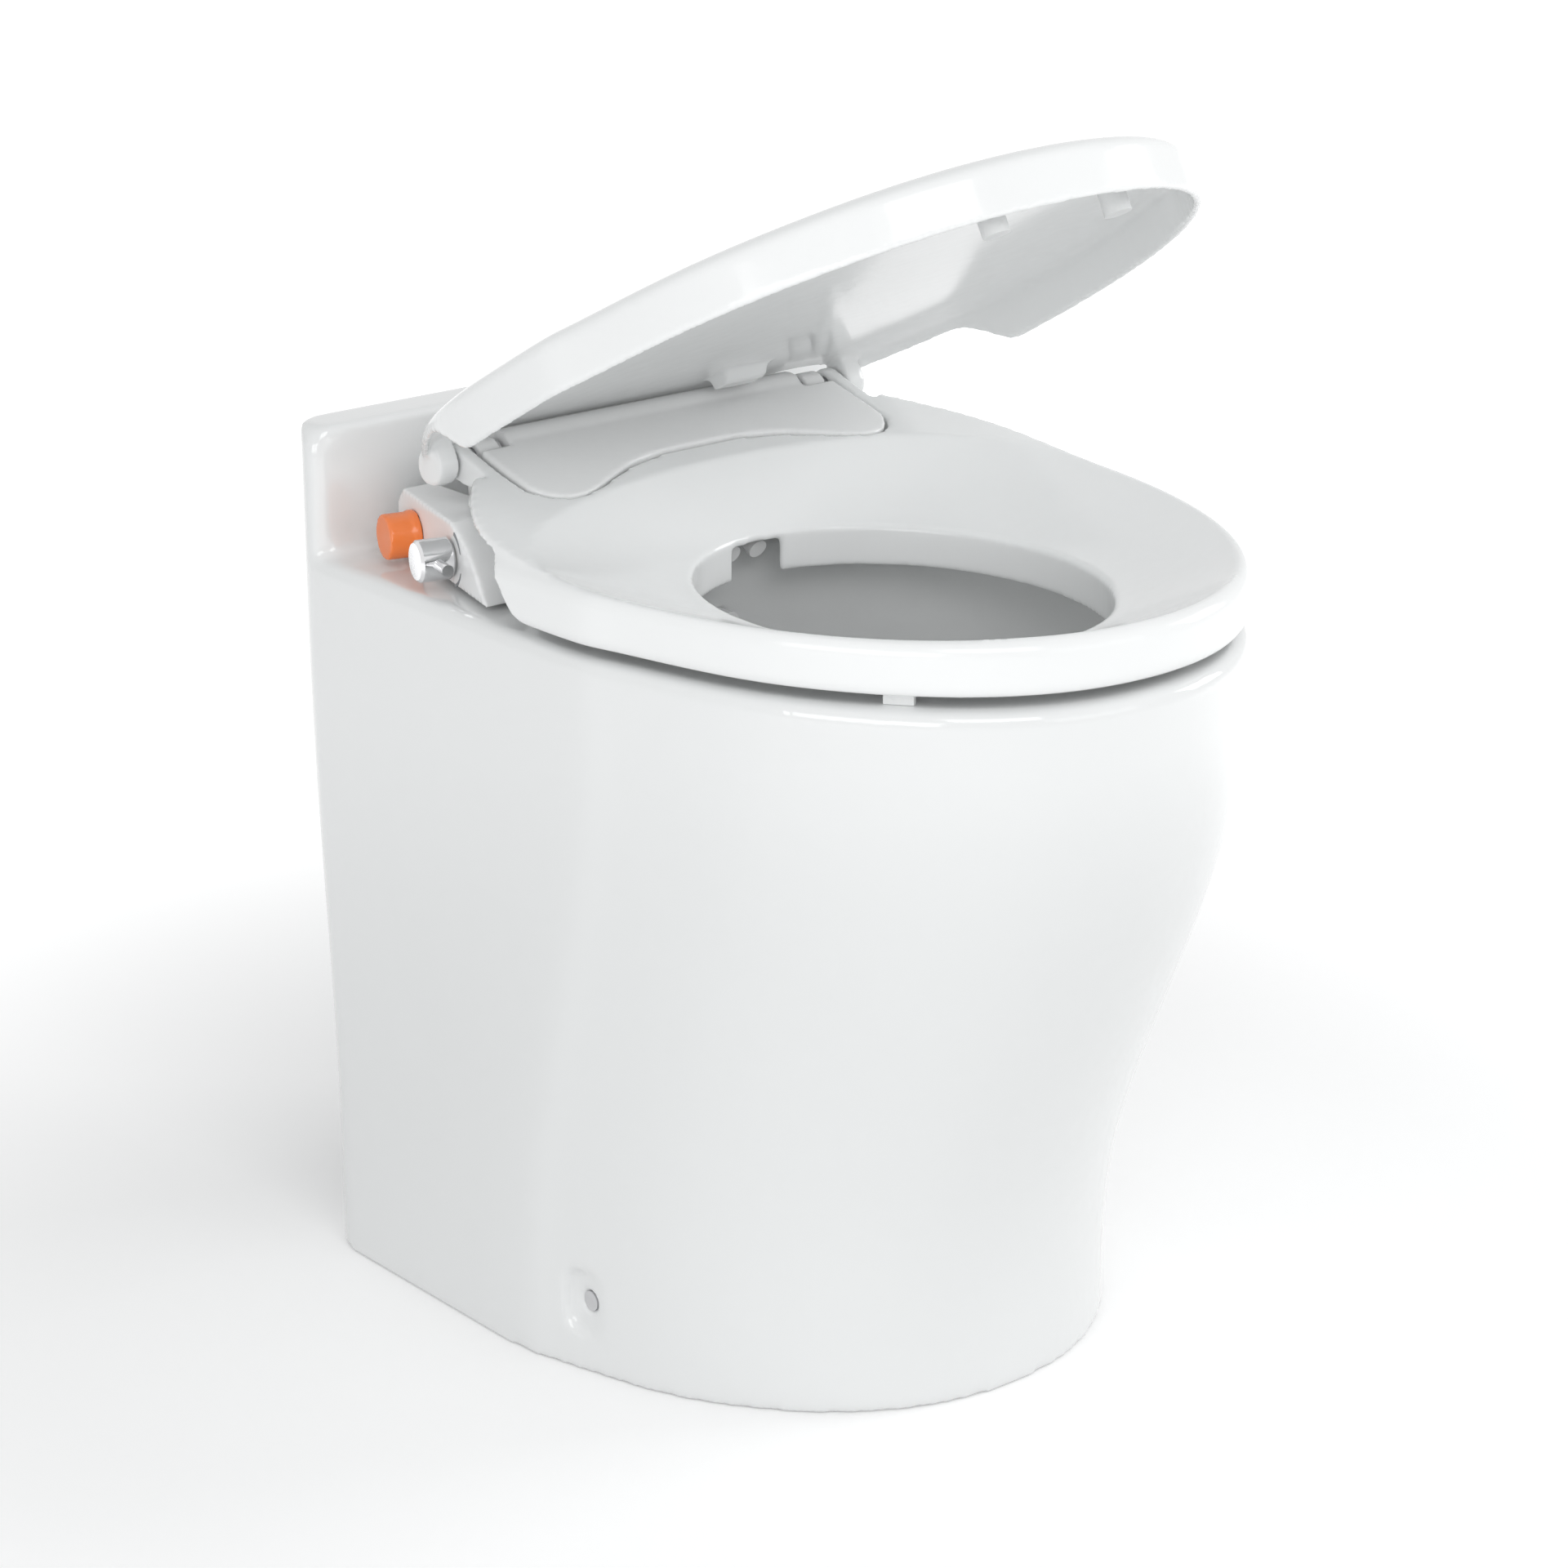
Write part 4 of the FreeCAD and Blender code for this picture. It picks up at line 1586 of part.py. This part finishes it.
def lid_bumpers():
    share = 1 - (LID_BUMPER_X / LID_HALF_WIDTH) ** OUTLINE_FULLNESS
    edge_y = LID_WAIST_Y - (LID_WAIST_Y - LID_TIP_Y) * share ** (1 / OUTLINE_FULLNESS)
    low = SEAT_TOP + LID_BUMPER_CLEARANCE
    place = Vector(LID_BUMPER_X, edge_y + LID_BUMPER_INSET, low)
    inside = lid_block(LID_WALL, LID_LOW - PAST)
    bumper = rod(LID_BUMPER_RADIUS, place, Z_AXIS, FAR).common(inside)
    return opened(both_sides(bumper))


# Every node and its solid


def all_nodes():
    return {
        "ceramic_pedestal": ceramic_pedestal(),
        "ceramic_bowl": ceramic_bowl(),
        "floor_bracket_right": other_side(floor_bracket()),
        "floor_bracket_left": floor_bracket(),
        "side_fixing_screws": both_sides(fixing_screw()),
        "outlet_sleeve": outlet_sleeve(),
        "sleeve_clamps": sleeve_clamps(),
        "macerator_chamber": macerator_chamber(),
        "chamber_cover": chamber_cover(),
        "chamber_cover_screws": cover_screws(),
        "macerator_cutter": cutter(),
        "pump_impeller": impeller(),
        "motor_shaft": motor_shaft(),
        "shaft_seal": shaft_seal(),
        "front_bearing": shaft_bearing(FRONT_BEARING_RADIUS, MOTOR_FRONT_X, BEARING_WIDTH),
        "rear_bearing": shaft_bearing(REAR_BEARING_RADIUS, MOTOR_BACK_X, BEARING_WIDTH),
        "motor_rotor_core": rotor_core(),
        "motor_stator_core": stator_core(),
        "motor_can": motor_can(),
        "motor_end_cap": motor_end_cap(),
        "pump_cradle": pump_cradle(),
        "cradle_feet": cradle_feet(),
        "discharge_elbow": discharge_elbow(),
        "duckbill_valve": duckbill_valve(),
        "carrier_plate": carrier_plate(),
        "carrier_screws": carrier_screws(),
        "control_box": control_box(),
        "control_box_lid": control_box_lid(),
        "motor_lead": motor_lead(),
        "valve_lead": valve_lead(),
        "rinse_valve_body": rinse_valve_body(),
        "rinse_valve_nut": rinse_valve_nut(),
        "rinse_coil": rinse_coil(),
        "rinse_plunger": rinse_plunger(),
        "plunger_spring": plunger_spring(),
        "rinse_hose": rinse_hose(),
        "rim_rinse_nozzle": rim_rinse_nozzle(),
        "seat_mounting_plate": mounting_plate(),
        "seat_mounting_bolts": mounting_bolts(),
        "seat_mounting_nuts": mounting_nuts(),
        "bidet_base": bidet_base(),
        "bidet_cover": bidet_cover(),
        "hinge_pins": both_sides(hinge_pin()),
        "mixer_valve": mixer_valve(),
        "valve_spindle": valve_spindle(),
        "control_knob": control_knob(),
        "water_inlet": water_inlet(),
        "inlet_cap": inlet_cap(),
        "nozzle_guide": nozzle_guide(),
        "wash_nozzle_right": wash_nozzle(-NOZZLE_X),
        "wash_nozzle_left": wash_nozzle(NOZZLE_X),
        "seat_ring": seat_ring(),
        "seat_bumpers": seat_bumpers(),
        "lid_shell": lid_shell(),
        "lid_bumpers": lid_bumpers(),
    }


os.makedirs("parts", exist_ok=True)
for node, shape in all_nodes().items():
    shape.exportStep("parts/" + node + ".step")
    print(node, len(shape.Solids), shape.isValid(), round(shape.Volume))
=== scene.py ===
# %% [markdown]
# # A macerator toilet, dressed for its picture
# The toilet was first drawn as solid pieces, each with its own name, and those pieces arrive here as a fixed
# frame in metres. This lesson gives every piece a surface, softens the big white mouldings the way a kiln
# and a mould do, and sets up the light and the camera. Nothing is moved: a piece goes where the frame says.

# %% Load the frame
import json
import math

import bmesh
import bpy
from mathutils import Euler, Matrix, Vector

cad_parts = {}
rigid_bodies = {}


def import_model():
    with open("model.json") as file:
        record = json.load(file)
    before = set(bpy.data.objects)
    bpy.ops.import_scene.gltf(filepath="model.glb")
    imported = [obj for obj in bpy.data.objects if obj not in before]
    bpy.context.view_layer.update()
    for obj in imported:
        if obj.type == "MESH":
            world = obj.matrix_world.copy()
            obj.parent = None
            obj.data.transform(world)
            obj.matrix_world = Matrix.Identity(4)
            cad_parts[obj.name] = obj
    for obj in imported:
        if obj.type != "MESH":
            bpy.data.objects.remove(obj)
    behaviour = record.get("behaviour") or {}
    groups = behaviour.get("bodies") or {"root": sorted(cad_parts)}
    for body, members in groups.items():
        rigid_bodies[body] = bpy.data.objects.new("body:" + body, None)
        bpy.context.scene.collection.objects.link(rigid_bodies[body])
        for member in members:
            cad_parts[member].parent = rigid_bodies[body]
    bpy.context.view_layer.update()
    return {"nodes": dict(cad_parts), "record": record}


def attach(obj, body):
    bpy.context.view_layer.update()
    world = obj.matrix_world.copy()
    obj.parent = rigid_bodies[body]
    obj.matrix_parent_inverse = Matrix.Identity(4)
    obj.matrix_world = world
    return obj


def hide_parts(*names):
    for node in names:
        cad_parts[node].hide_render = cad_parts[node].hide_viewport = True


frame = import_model()
nodes = frame["nodes"]
record = frame["record"]

# %% [markdown]
# ## Shader maths as plain Python
# A finish is a small machine made of nodes. Wiring nodes by hand hides the idea, so one class wraps a
# socket: adding or multiplying wrapped sockets adds the Math node for it. Every other node comes from the
# same `node` method, which sets the node's settings first and fills its sockets after that.


# %% A socket that can be added and multiplied
class Flow:
    """One output socket of a node tree, or the start of a tree that has none yet."""

    def __init__(self, tree, socket=None):
        self.tree = tree
        self.socket = socket

    def node(self, kind, settings, sockets, output=0):
        made = self.tree.nodes.new(kind)
        for name, value in settings.items():
            setattr(made, name, value)
        for name, value in sockets.items():
            if isinstance(value, Flow):
                self.tree.links.new(value.socket, made.inputs[name])
            else:
                made.inputs[name].default_value = value
        return Flow(self.tree, made.outputs[output] if made.outputs else None)

    def maths(self, operation, other):
        return self.node("ShaderNodeMath", {"operation": operation}, {0: self, 1: other})

    def __add__(self, other):
        return self.maths("ADD", other)

    __radd__ = __add__

    def __mul__(self, other):
        return self.maths("MULTIPLY", other)

    __rmul__ = __mul__


print("shader maths is ready")

# %% [markdown]
# ## A finish, step by step
# Each finish starts from the object's own coordinates, which are metres here, so a grain of 2 mm really is
# 2 mm on every piece and it travels with a lid that opens. A painted picture would need every piece
# unwrapped first. `blotches` gives a soft cloud between 0 and 1. `tinted` shades a colour by it, and
# `bumps` turns it into a slope for the light to catch.


# %% The tools that every finish uses
# A Mix node keeps its number, vector and colour sockets in one row: these are the places of the colour ones
MIX_FACTOR, MIX_LOW, MIX_HIGH, MIX_RESULT = 0, 6, 7, 2
CLOUD_DETAIL = 2.0
SMOOTH_DETAIL = 1.0
CLOUD_ROUGHNESS = 0.5


def opaque(colour):
    return (*colour, 1.0)


def shade(colour, factor):
    return tuple(min(1.0, part * factor) for part in colour)


def new_finish(name):
    material = bpy.data.materials.new(name)
    material.use_nodes = True
    material.node_tree.nodes.clear()
    metres = Flow(material.node_tree).node("ShaderNodeTexCoord", {}, {}, "Object")
    return material, metres


def blotches(metres, per_metre, detail=CLOUD_DETAIL):
    sockets = {"Vector": metres, "Scale": per_metre, "Detail": detail, "Roughness": CLOUD_ROUGHNESS}
    return metres.node("ShaderNodeTexNoise", {}, sockets, "Fac")


def between(amount, low, high):
    sockets = {MIX_FACTOR: amount, MIX_LOW: opaque(low), MIX_HIGH: opaque(high)}
    return amount.node("ShaderNodeMix", {"data_type": "RGBA"}, sockets, MIX_RESULT)


def tinted(amount, colour, tints):
    return between(amount, shade(colour, tints[0]), shade(colour, tints[1]))


def bumps(height, depth):
    sockets = {"Height": height, "Strength": 1.0, "Distance": depth}
    return height.node("ShaderNodeBump", {}, sockets, "Normal")


def coated(metres, sockets):
    surface = metres.node("ShaderNodeBsdfPrincipled", {}, sockets)
    metres.node("ShaderNodeOutputMaterial", {}, {"Surface": surface})


print("finish tools are ready")

# %% [markdown]
# ## Glazed china
# Vitreous china is dipped in a glaze that melts to glass. It is white with a trace of blue, its gloss is
# sharp, and the glaze is never quite flat: it pools in long soft waves a few centimetres across. A plain
# white gloss would look like plastic, so one cloud bends the surface in waves and another, broader one
# changes the gloss a little where the glaze has pooled.

# %% The china finish
GLAZE_WAVES_PER_METRE = 18.0
GLAZE_WAVE_DEPTH = 0.0006
GLAZE_POOLS_PER_METRE = 5.0
GLAZE_TINTS = (0.99, 1.01)
GLAZE_ROUGHNESS = 0.05
GLAZE_POOL_ROUGHNESS = 0.05
GLAZE_IOR = 1.5
GLAZE_COAT = 0.4
GLAZE_COAT_ROUGHNESS = 0.03


def china_finish(name, colour):
    material, metres = new_finish(name)
    waves = blotches(metres, GLAZE_WAVES_PER_METRE, SMOOTH_DETAIL)
    pooled = blotches(metres, GLAZE_POOLS_PER_METRE)
    coated(metres, {"Base Color": tinted(pooled, colour, GLAZE_TINTS),
                    "Roughness": GLAZE_ROUGHNESS + GLAZE_POOL_ROUGHNESS * pooled,
                    "Normal": bumps(waves, GLAZE_WAVE_DEPTH),
                    "IOR": GLAZE_IOR,
                    "Coat Weight": GLAZE_COAT,
                    "Coat Roughness": GLAZE_COAT_ROUGHNESS})
    return material


print("the china finish is ready")

# %% [markdown]
# ## Moulded plastics
# The seat and the housing are polished mouldings: gloss with a slightly wider highlight than the glaze, and
# faint flow marks from the mould. The pieces inside are matt mouldings with the fine grain of a sparked
# mould. Grain could be modelled, but it is far finer than any mesh, so it is a bump. Rubber and paint have
# a coarser grain, and the same function makes all three.

# %% The plastic finishes
GLOSS_FLOWS_PER_METRE = 12.0
GLOSS_SKIN_PER_METRE = 90.0
GLOSS_SKIN_DEPTH = 0.00008
GLOSS_TINTS = (0.985, 1.01)
GLOSS_ROUGHNESS = 0.10
GLOSS_FLOW_ROUGHNESS = 0.06
GLOSS_IOR = 1.48
WEAR_PER_METRE = 25.0
WEAR_DETAIL = 3.0
WEAR_TINTS = (0.88, 1.12)
WEAR_ROUGHNESS = 0.12
GRAINS = {"matte_plastic": {"roughness": 0.55, "grains_per_metre": 900.0, "depth": 0.0002},
          "rubber": {"roughness": 0.65, "grains_per_metre": 400.0, "depth": 0.0002},
          "painted_metal": {"roughness": 0.35, "grains_per_metre": 500.0, "depth": 0.00015}}


def gloss_finish(name, colour):
    material, metres = new_finish(name)
    flows = blotches(metres, GLOSS_FLOWS_PER_METRE)
    skin = blotches(metres, GLOSS_SKIN_PER_METRE, SMOOTH_DETAIL)
    coated(metres, {"Base Color": tinted(flows, colour, GLOSS_TINTS),
                    "Roughness": GLOSS_ROUGHNESS + GLOSS_FLOW_ROUGHNESS * flows,
                    "Normal": bumps(skin, GLOSS_SKIN_DEPTH),
                    "IOR": GLOSS_IOR})
    return material


def grain_finish(name, colour, roughness, grains_per_metre, depth):
    material, metres = new_finish(name)
    grain = blotches(metres, grains_per_metre)
    worn = blotches(metres, WEAR_PER_METRE, WEAR_DETAIL)
    coated(metres, {"Base Color": tinted(worn, colour, WEAR_TINTS),
                    "Roughness": roughness + WEAR_ROUGHNESS * worn,
                    "Normal": bumps(grain, depth)})
    return material


print("grained finishes:", list(GRAINS))

# %% [markdown]
# ## Metals
# Chrome is a mirror with a breath of haze. Sheet and turned steel carry fine lines, and a stack of core
# sheets shows the edge of every sheet. Lines could come from a wave, which is too regular for metal. A
# stretched cloud gives them: many cells across the piece and few along it.

# %% The metal finishes
HAZE_PER_METRE = 30.0
HAZE_TINTS = (0.92, 1.05)
LINE_ROUGHNESS = 0.10
LINE_DEPTH = 0.00002
CORE_SHEETS = {"roughness": 0.35, "stretch": (12.0, 0.2, 0.2), "lines_per_metre": 120.0}
MIRROR = {"roughness": 0.06, "stretch": (1.0, 1.0, 1.0), "lines_per_metre": 700.0}
BRUSHED = {"roughness": 0.25, "stretch": (0.05, 1.0, 1.0), "lines_per_metre": 700.0}


def metal_finish(name, colour, roughness, stretch, lines_per_metre):
    material, metres = new_finish(name)
    pulled = metres.node("ShaderNodeMapping", {}, {"Vector": metres, "Scale": stretch})
    lines = blotches(pulled, lines_per_metre)
    haze = blotches(metres, HAZE_PER_METRE)
    coated(metres, {"Base Color": tinted(haze, colour, HAZE_TINTS),
                    "Roughness": roughness + LINE_ROUGHNESS * lines,
                    "Metallic": 1.0,
                    "Normal": bumps(lines, LINE_DEPTH)})
    return material


print("the metal finishes are ready")

# %% [markdown]
# ## Which piece gets which finish
# The record names a material slot for every node, and a slot has a class and a base colour. A list of
# pieces for each finish would have to grow with every new piece. The finish follows the class instead, so
# a new piece only has to name its slot. The core's sheets are the one slot with lines of its own.

# %% Make one finish for each slot
finishes = {}
for row in record["materials"]:
    slot_name = row["slot"]
    family = row["class"]
    colour = tuple(row["base_color"])
    if family == "glazed_ceramic":
        finishes[slot_name] = china_finish(slot_name, colour)
    elif family == "gloss_plastic":
        finishes[slot_name] = gloss_finish(slot_name, colour)
    elif family in GRAINS:
        finishes[slot_name] = grain_finish(slot_name, colour, **GRAINS[family])
    elif slot_name == "core_steel":
        finishes[slot_name] = metal_finish(slot_name, colour, **CORE_SHEETS)
    elif family == "chrome":
        finishes[slot_name] = metal_finish(slot_name, colour, **MIRROR)
    else:
        finishes[slot_name] = metal_finish(slot_name, colour, **BRUSHED)
print("finishes:", sorted(finishes))

# %% Dress every node
slot_of = {row["node"]: row["material_slot"] for row in record["subparts"]}
for name, piece in nodes.items():
    piece.data.materials.clear()
    piece.data.materials.append(finishes[slot_of[name]])
print("dressed:", len(nodes))

# %% [markdown]
# ## Soft mouldings
# A real moulding has no knife edges: every edge is rounded a little so that it leaves the mould and
# doesn't scratch. The solid pieces come with sharp edges, so a copy of each large moulding is laid on an
# even grid of small cells and relaxed a few rounds. That rounds the edges by about a cell and leaves the
# broad surfaces where they were. A bevel was the other way, but long thin triangles make bevels fold over.
# The bowl and the shell round it are one casting, so their copies are joined before the grid is laid.

# %% Round the edges of the mouldings
MOULDINGS = [{"names": ["lid_shell"], "cell": 0.0015, "rounds": 10},
             {"names": ["seat_ring"], "cell": 0.0016, "rounds": 10},
             {"names": ["bidet_base"], "cell": 0.0013, "rounds": 4},
             {"names": ["bidet_cover"], "cell": 0.0013, "rounds": 4},
             {"names": ["ceramic_pedestal", "ceramic_bowl"], "cell": 0.0025, "rounds": 8},
             {"names": ["inlet_cap"], "cell": 0.0008, "rounds": 12}]
body_of = {node: body for body, members in record["behaviour"]["bodies"].items() for node in members}


def softened(names, cell, rounds):
    joined = bmesh.new()
    for name in names:
        joined.from_mesh(nodes[name].data)
    first = names[0]
    solid = bpy.data.meshes.new(first + "_solid")
    joined.to_mesh(solid)
    joined.free()
    solid.materials.append(finishes[slot_of[first]])
    piece = bpy.data.objects.new(first + "_moulding", solid)
    bpy.context.scene.collection.objects.link(piece)
    grid = piece.modifiers.new("even_grid", "REMESH")
    grid.mode = "VOXEL"
    grid.voxel_size = cell
    relax = piece.modifiers.new("relaxed", "SMOOTH")
    relax.iterations = rounds
    shown = piece.evaluated_get(bpy.context.evaluated_depsgraph_get())
    mesh = bpy.data.meshes.new_from_object(shown)
    piece.modifiers.clear()
    piece.data = mesh
    mesh.shade_smooth()
    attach(piece, body_of[first])
    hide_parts(*names)
    print(first, "faces:", len(mesh.polygons))


for moulding in MOULDINGS:
    softened(**moulding)

# %% [markdown]
# ## The marks round the knob
# Two thin grey wedges are printed on the panel, on the front side of the knob: turned towards the thick
# end of either, the knob gives more water. A mask in the panel's finish could draw them, but it would have
# to find the knob first. A thin strip takes its place from the frame's own joint, because it lies in the
# plane that the knob turns in.

# %% Print the two wedges
MARK_RADIUS = 0.0150
MARK_WIDTHS = (0.0004, 0.0018)
MARK_PROUD = 0.0004
MARK_STEPS = 16
MARK_SPANS = {"upper_flow_mark": (20.0, 70.0), "lower_flow_mark": (-20.0, -70.0)}
MARK_SLOT = "grey_plastic"


def flow_mark(name, span, joint):
    middle = Vector(joint["pos_m"])
    out = Vector(joint["axis"])
    upward = Vector((0.0, 0.0, 1.0))
    forward = upward.cross(out)
    strip = bmesh.new()
    rings = []
    for step in range(MARK_STEPS + 1):
        share = step / MARK_STEPS
        angle = math.radians(span[0] + (span[1] - span[0]) * share)
        outward = forward * math.cos(angle) + upward * math.sin(angle)
        half = (MARK_WIDTHS[0] + (MARK_WIDTHS[1] - MARK_WIDTHS[0]) * share) / 2
        ring = []
        for along, lift in ((-half, -1), (half, -1), (half, 1), (-half, 1)):
            place = middle + outward * (MARK_RADIUS + along) + out * (lift * MARK_PROUD)
            ring.append(strip.verts.new(place))
        rings.append(ring)
    for first, second in zip(rings, rings[1:]):
        for side in range(len(first)):
            after = (side + 1) % len(first)
            strip.faces.new((first[side], first[after], second[after], second[side]))
    strip.faces.new(rings[0])
    strip.faces.new(rings[-1])
    bmesh.ops.recalc_face_normals(strip, faces=strip.faces)
    mesh = bpy.data.meshes.new(name)
    strip.to_mesh(mesh)
    strip.free()
    mesh.materials.append(finishes[MARK_SLOT])
    mark = bpy.data.objects.new(name, mesh)
    bpy.context.scene.collection.objects.link(mark)
    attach(mark, joint["parent"])


knob_joint = next(row for row in record["behaviour"]["joints"] if row["name"] == "knob_turn")
for mark_name, span in MARK_SPANS.items():
    flow_mark(mark_name, span, knob_joint)
print("marks:", list(MARK_SPANS))

# %% [markdown]
# ## The camera
# The photograph is taken from in front of the toilet and to its right-hand side, from a little above it,
# with a long lens. A camera can be aimed with a constraint, but its place and its two angles were worked
# out from the outlines, so they are set as they are. The tilt is counted from straight down, and the turn
# goes round the upright axis, in degrees. The picture is square.

# %% Place the camera
CAMERA_PLACE = Vector((-1.4017, -1.6372, 1.0525))
CAMERA_TILT = 70.701
CAMERA_TURN = -39.799
SENSOR_WIDTH = 36.0
FOCAL_LENGTH = 98.4
lens = bpy.data.cameras.new("camera")
lens.sensor_width = SENSOR_WIDTH
lens.lens = FOCAL_LENGTH
camera = bpy.data.objects.new("camera", lens)
turned = Euler((math.radians(CAMERA_TILT), 0.0, math.radians(CAMERA_TURN)))
camera.matrix_world = Matrix.LocRotScale(CAMERA_PLACE, turned, None)
bpy.context.scene.collection.objects.link(camera)
bpy.context.scene.camera = camera
print("camera at", tuple(round(part, 3) for part in CAMERA_PLACE))

# %% [markdown]
# ## A white room
# The picture is high key: a white floor, white surroundings and soft light from everywhere. Real walls would
# throw shadows and need lamps of their own, so the world stands in for them. It is plain white where the
# camera or a reflection looks at it, and dimmer as a source of light, because the lamps add to it.

# %% The world
LOOKED_AT_BY = ("Is Camera Ray", "Is Glossy Ray", "Is Transmission Ray")
ROOM_SEEN = {"Color": opaque((1.0, 1.0, 1.0)), "Strength": 1.0}
ROOM_LIGHT = {"Color": opaque((0.985, 0.995, 1.0)), "Strength": 0.58}


def looked_at(start):
    rays = [start.node("ShaderNodeLightPath", {}, {}, ray) for ray in LOOKED_AT_BY]
    return rays[0] + rays[1] + rays[2]


world = bpy.data.worlds.new("white_room")
bpy.context.scene.world = world
world.use_nodes = True
world.node_tree.nodes.clear()
start = Flow(world.node_tree)
light = start.node("ShaderNodeBackground", {}, ROOM_LIGHT)
seen = start.node("ShaderNodeBackground", {}, ROOM_SEEN)
mixed = start.node("ShaderNodeMixShader", {}, {0: looked_at(start), 1: light, 2: seen})
start.node("ShaderNodeOutputWorld", {}, {"Surface": mixed})
print("world:", world.name)

# %% [markdown]
# ## The floor
# The floor is a pale sheet that keeps the shadow. A sheet of one plain white would turn grey further away,
# where the lamps no longer reach it, so it glows a little there, and less so near the toilet. What the glow
# would throw back on the toilet is left out: light that bounces meets a plain sheet.

# %% Lay the floor
FLOOR_SIZE = 30.0
FLOOR_DROP = 0.0005
PLAIN_FLOOR = (0.90, 0.90, 0.90)
SEEN_FLOOR = (0.92, 0.92, 0.92)
GLOW_NEAR = 0.4
GLOW_FAR = 1.3
GLOW_LEAST = (0.16, 0.16, 0.16)
GLOW_MOST = (0.70, 0.70, 0.70)


def floor_finish():
    material, metres = new_finish("floor_white")
    plain = metres.node("ShaderNodeBsdfDiffuse", {}, {"Color": opaque(PLAIN_FLOOR)})
    sheet = metres.node("ShaderNodeBsdfDiffuse", {}, {"Color": opaque(SEEN_FLOOR)})
    reach = metres.node("ShaderNodeVectorMath", {"operation": "LENGTH"}, {0: metres}, "Value")
    away = reach.node("ShaderNodeMapRange", {"interpolation_type": "SMOOTHSTEP"},
                      {"Value": reach, "From Min": GLOW_NEAR, "From Max": GLOW_FAR})
    shine = between(away, GLOW_LEAST, GLOW_MOST)
    glow = shine.node("ShaderNodeEmission", {}, {"Color": shine, "Strength": 1.0})
    bright = glow.node("ShaderNodeAddShader", {}, {0: sheet, 1: glow})
    mixed = metres.node("ShaderNodeMixShader", {}, {0: looked_at(metres), 1: plain, 2: bright})
    metres.node("ShaderNodeOutputMaterial", {}, {"Surface": mixed})
    return material


bpy.ops.mesh.primitive_plane_add(size=FLOOR_SIZE, location=(0.0, 0.0, -FLOOR_DROP))
floor = bpy.context.object
floor.name = "floor"
floor.data.materials.append(floor_finish())
print("floor:", FLOOR_SIZE, "m")

# %% [markdown]
# ## Soft boxes
# Four soft boxes stand round the front, two high and two low. One large lamp overhead would leave the
# inside of the open lid dark. These reach under it, and the glaze and the polished seat mirror them as
# clean bright patches.

# %% Place the lamps
AIM = Vector((0.0, 0.0, 0.42))
SOFT_BOXES = {"front_box": {"place": (-1.0, -2.1, 2.1), "size": (1.5, 1.1), "watts": 16.0},
              "side_box": {"place": (-2.6, -1.3, 0.95), "size": (2.0, 1.0), "watts": 17.0},
              "low_box": {"place": (0.6, -2.8, 1.0), "size": (2.0, 1.0), "watts": 5.0},
              "right_box": {"place": (2.4, -1.0, 1.3), "size": (1.2, 1.0), "watts": 21.0}}


def soft_box(name, place, size, watts):
    lamp = bpy.data.lights.new(name, "AREA")
    lamp.shape = "RECTANGLE"
    lamp.size, lamp.size_y = size
    lamp.energy = watts
    holder = bpy.data.objects.new(name, lamp)
    direction = AIM - Vector(place)
    holder.location = place
    holder.rotation_euler = direction.to_track_quat("-Z", "Y").to_euler()
    bpy.context.scene.collection.objects.link(holder)


for box_name, settings in SOFT_BOXES.items():
    soft_box(box_name, **settings)
print("lamps:", list(SOFT_BOXES))

# %% [markdown]
# The view transform is the plain one, so a colour renders about as it is written.

# %% Finish
bpy.context.scene.view_settings.view_transform = "Standard"
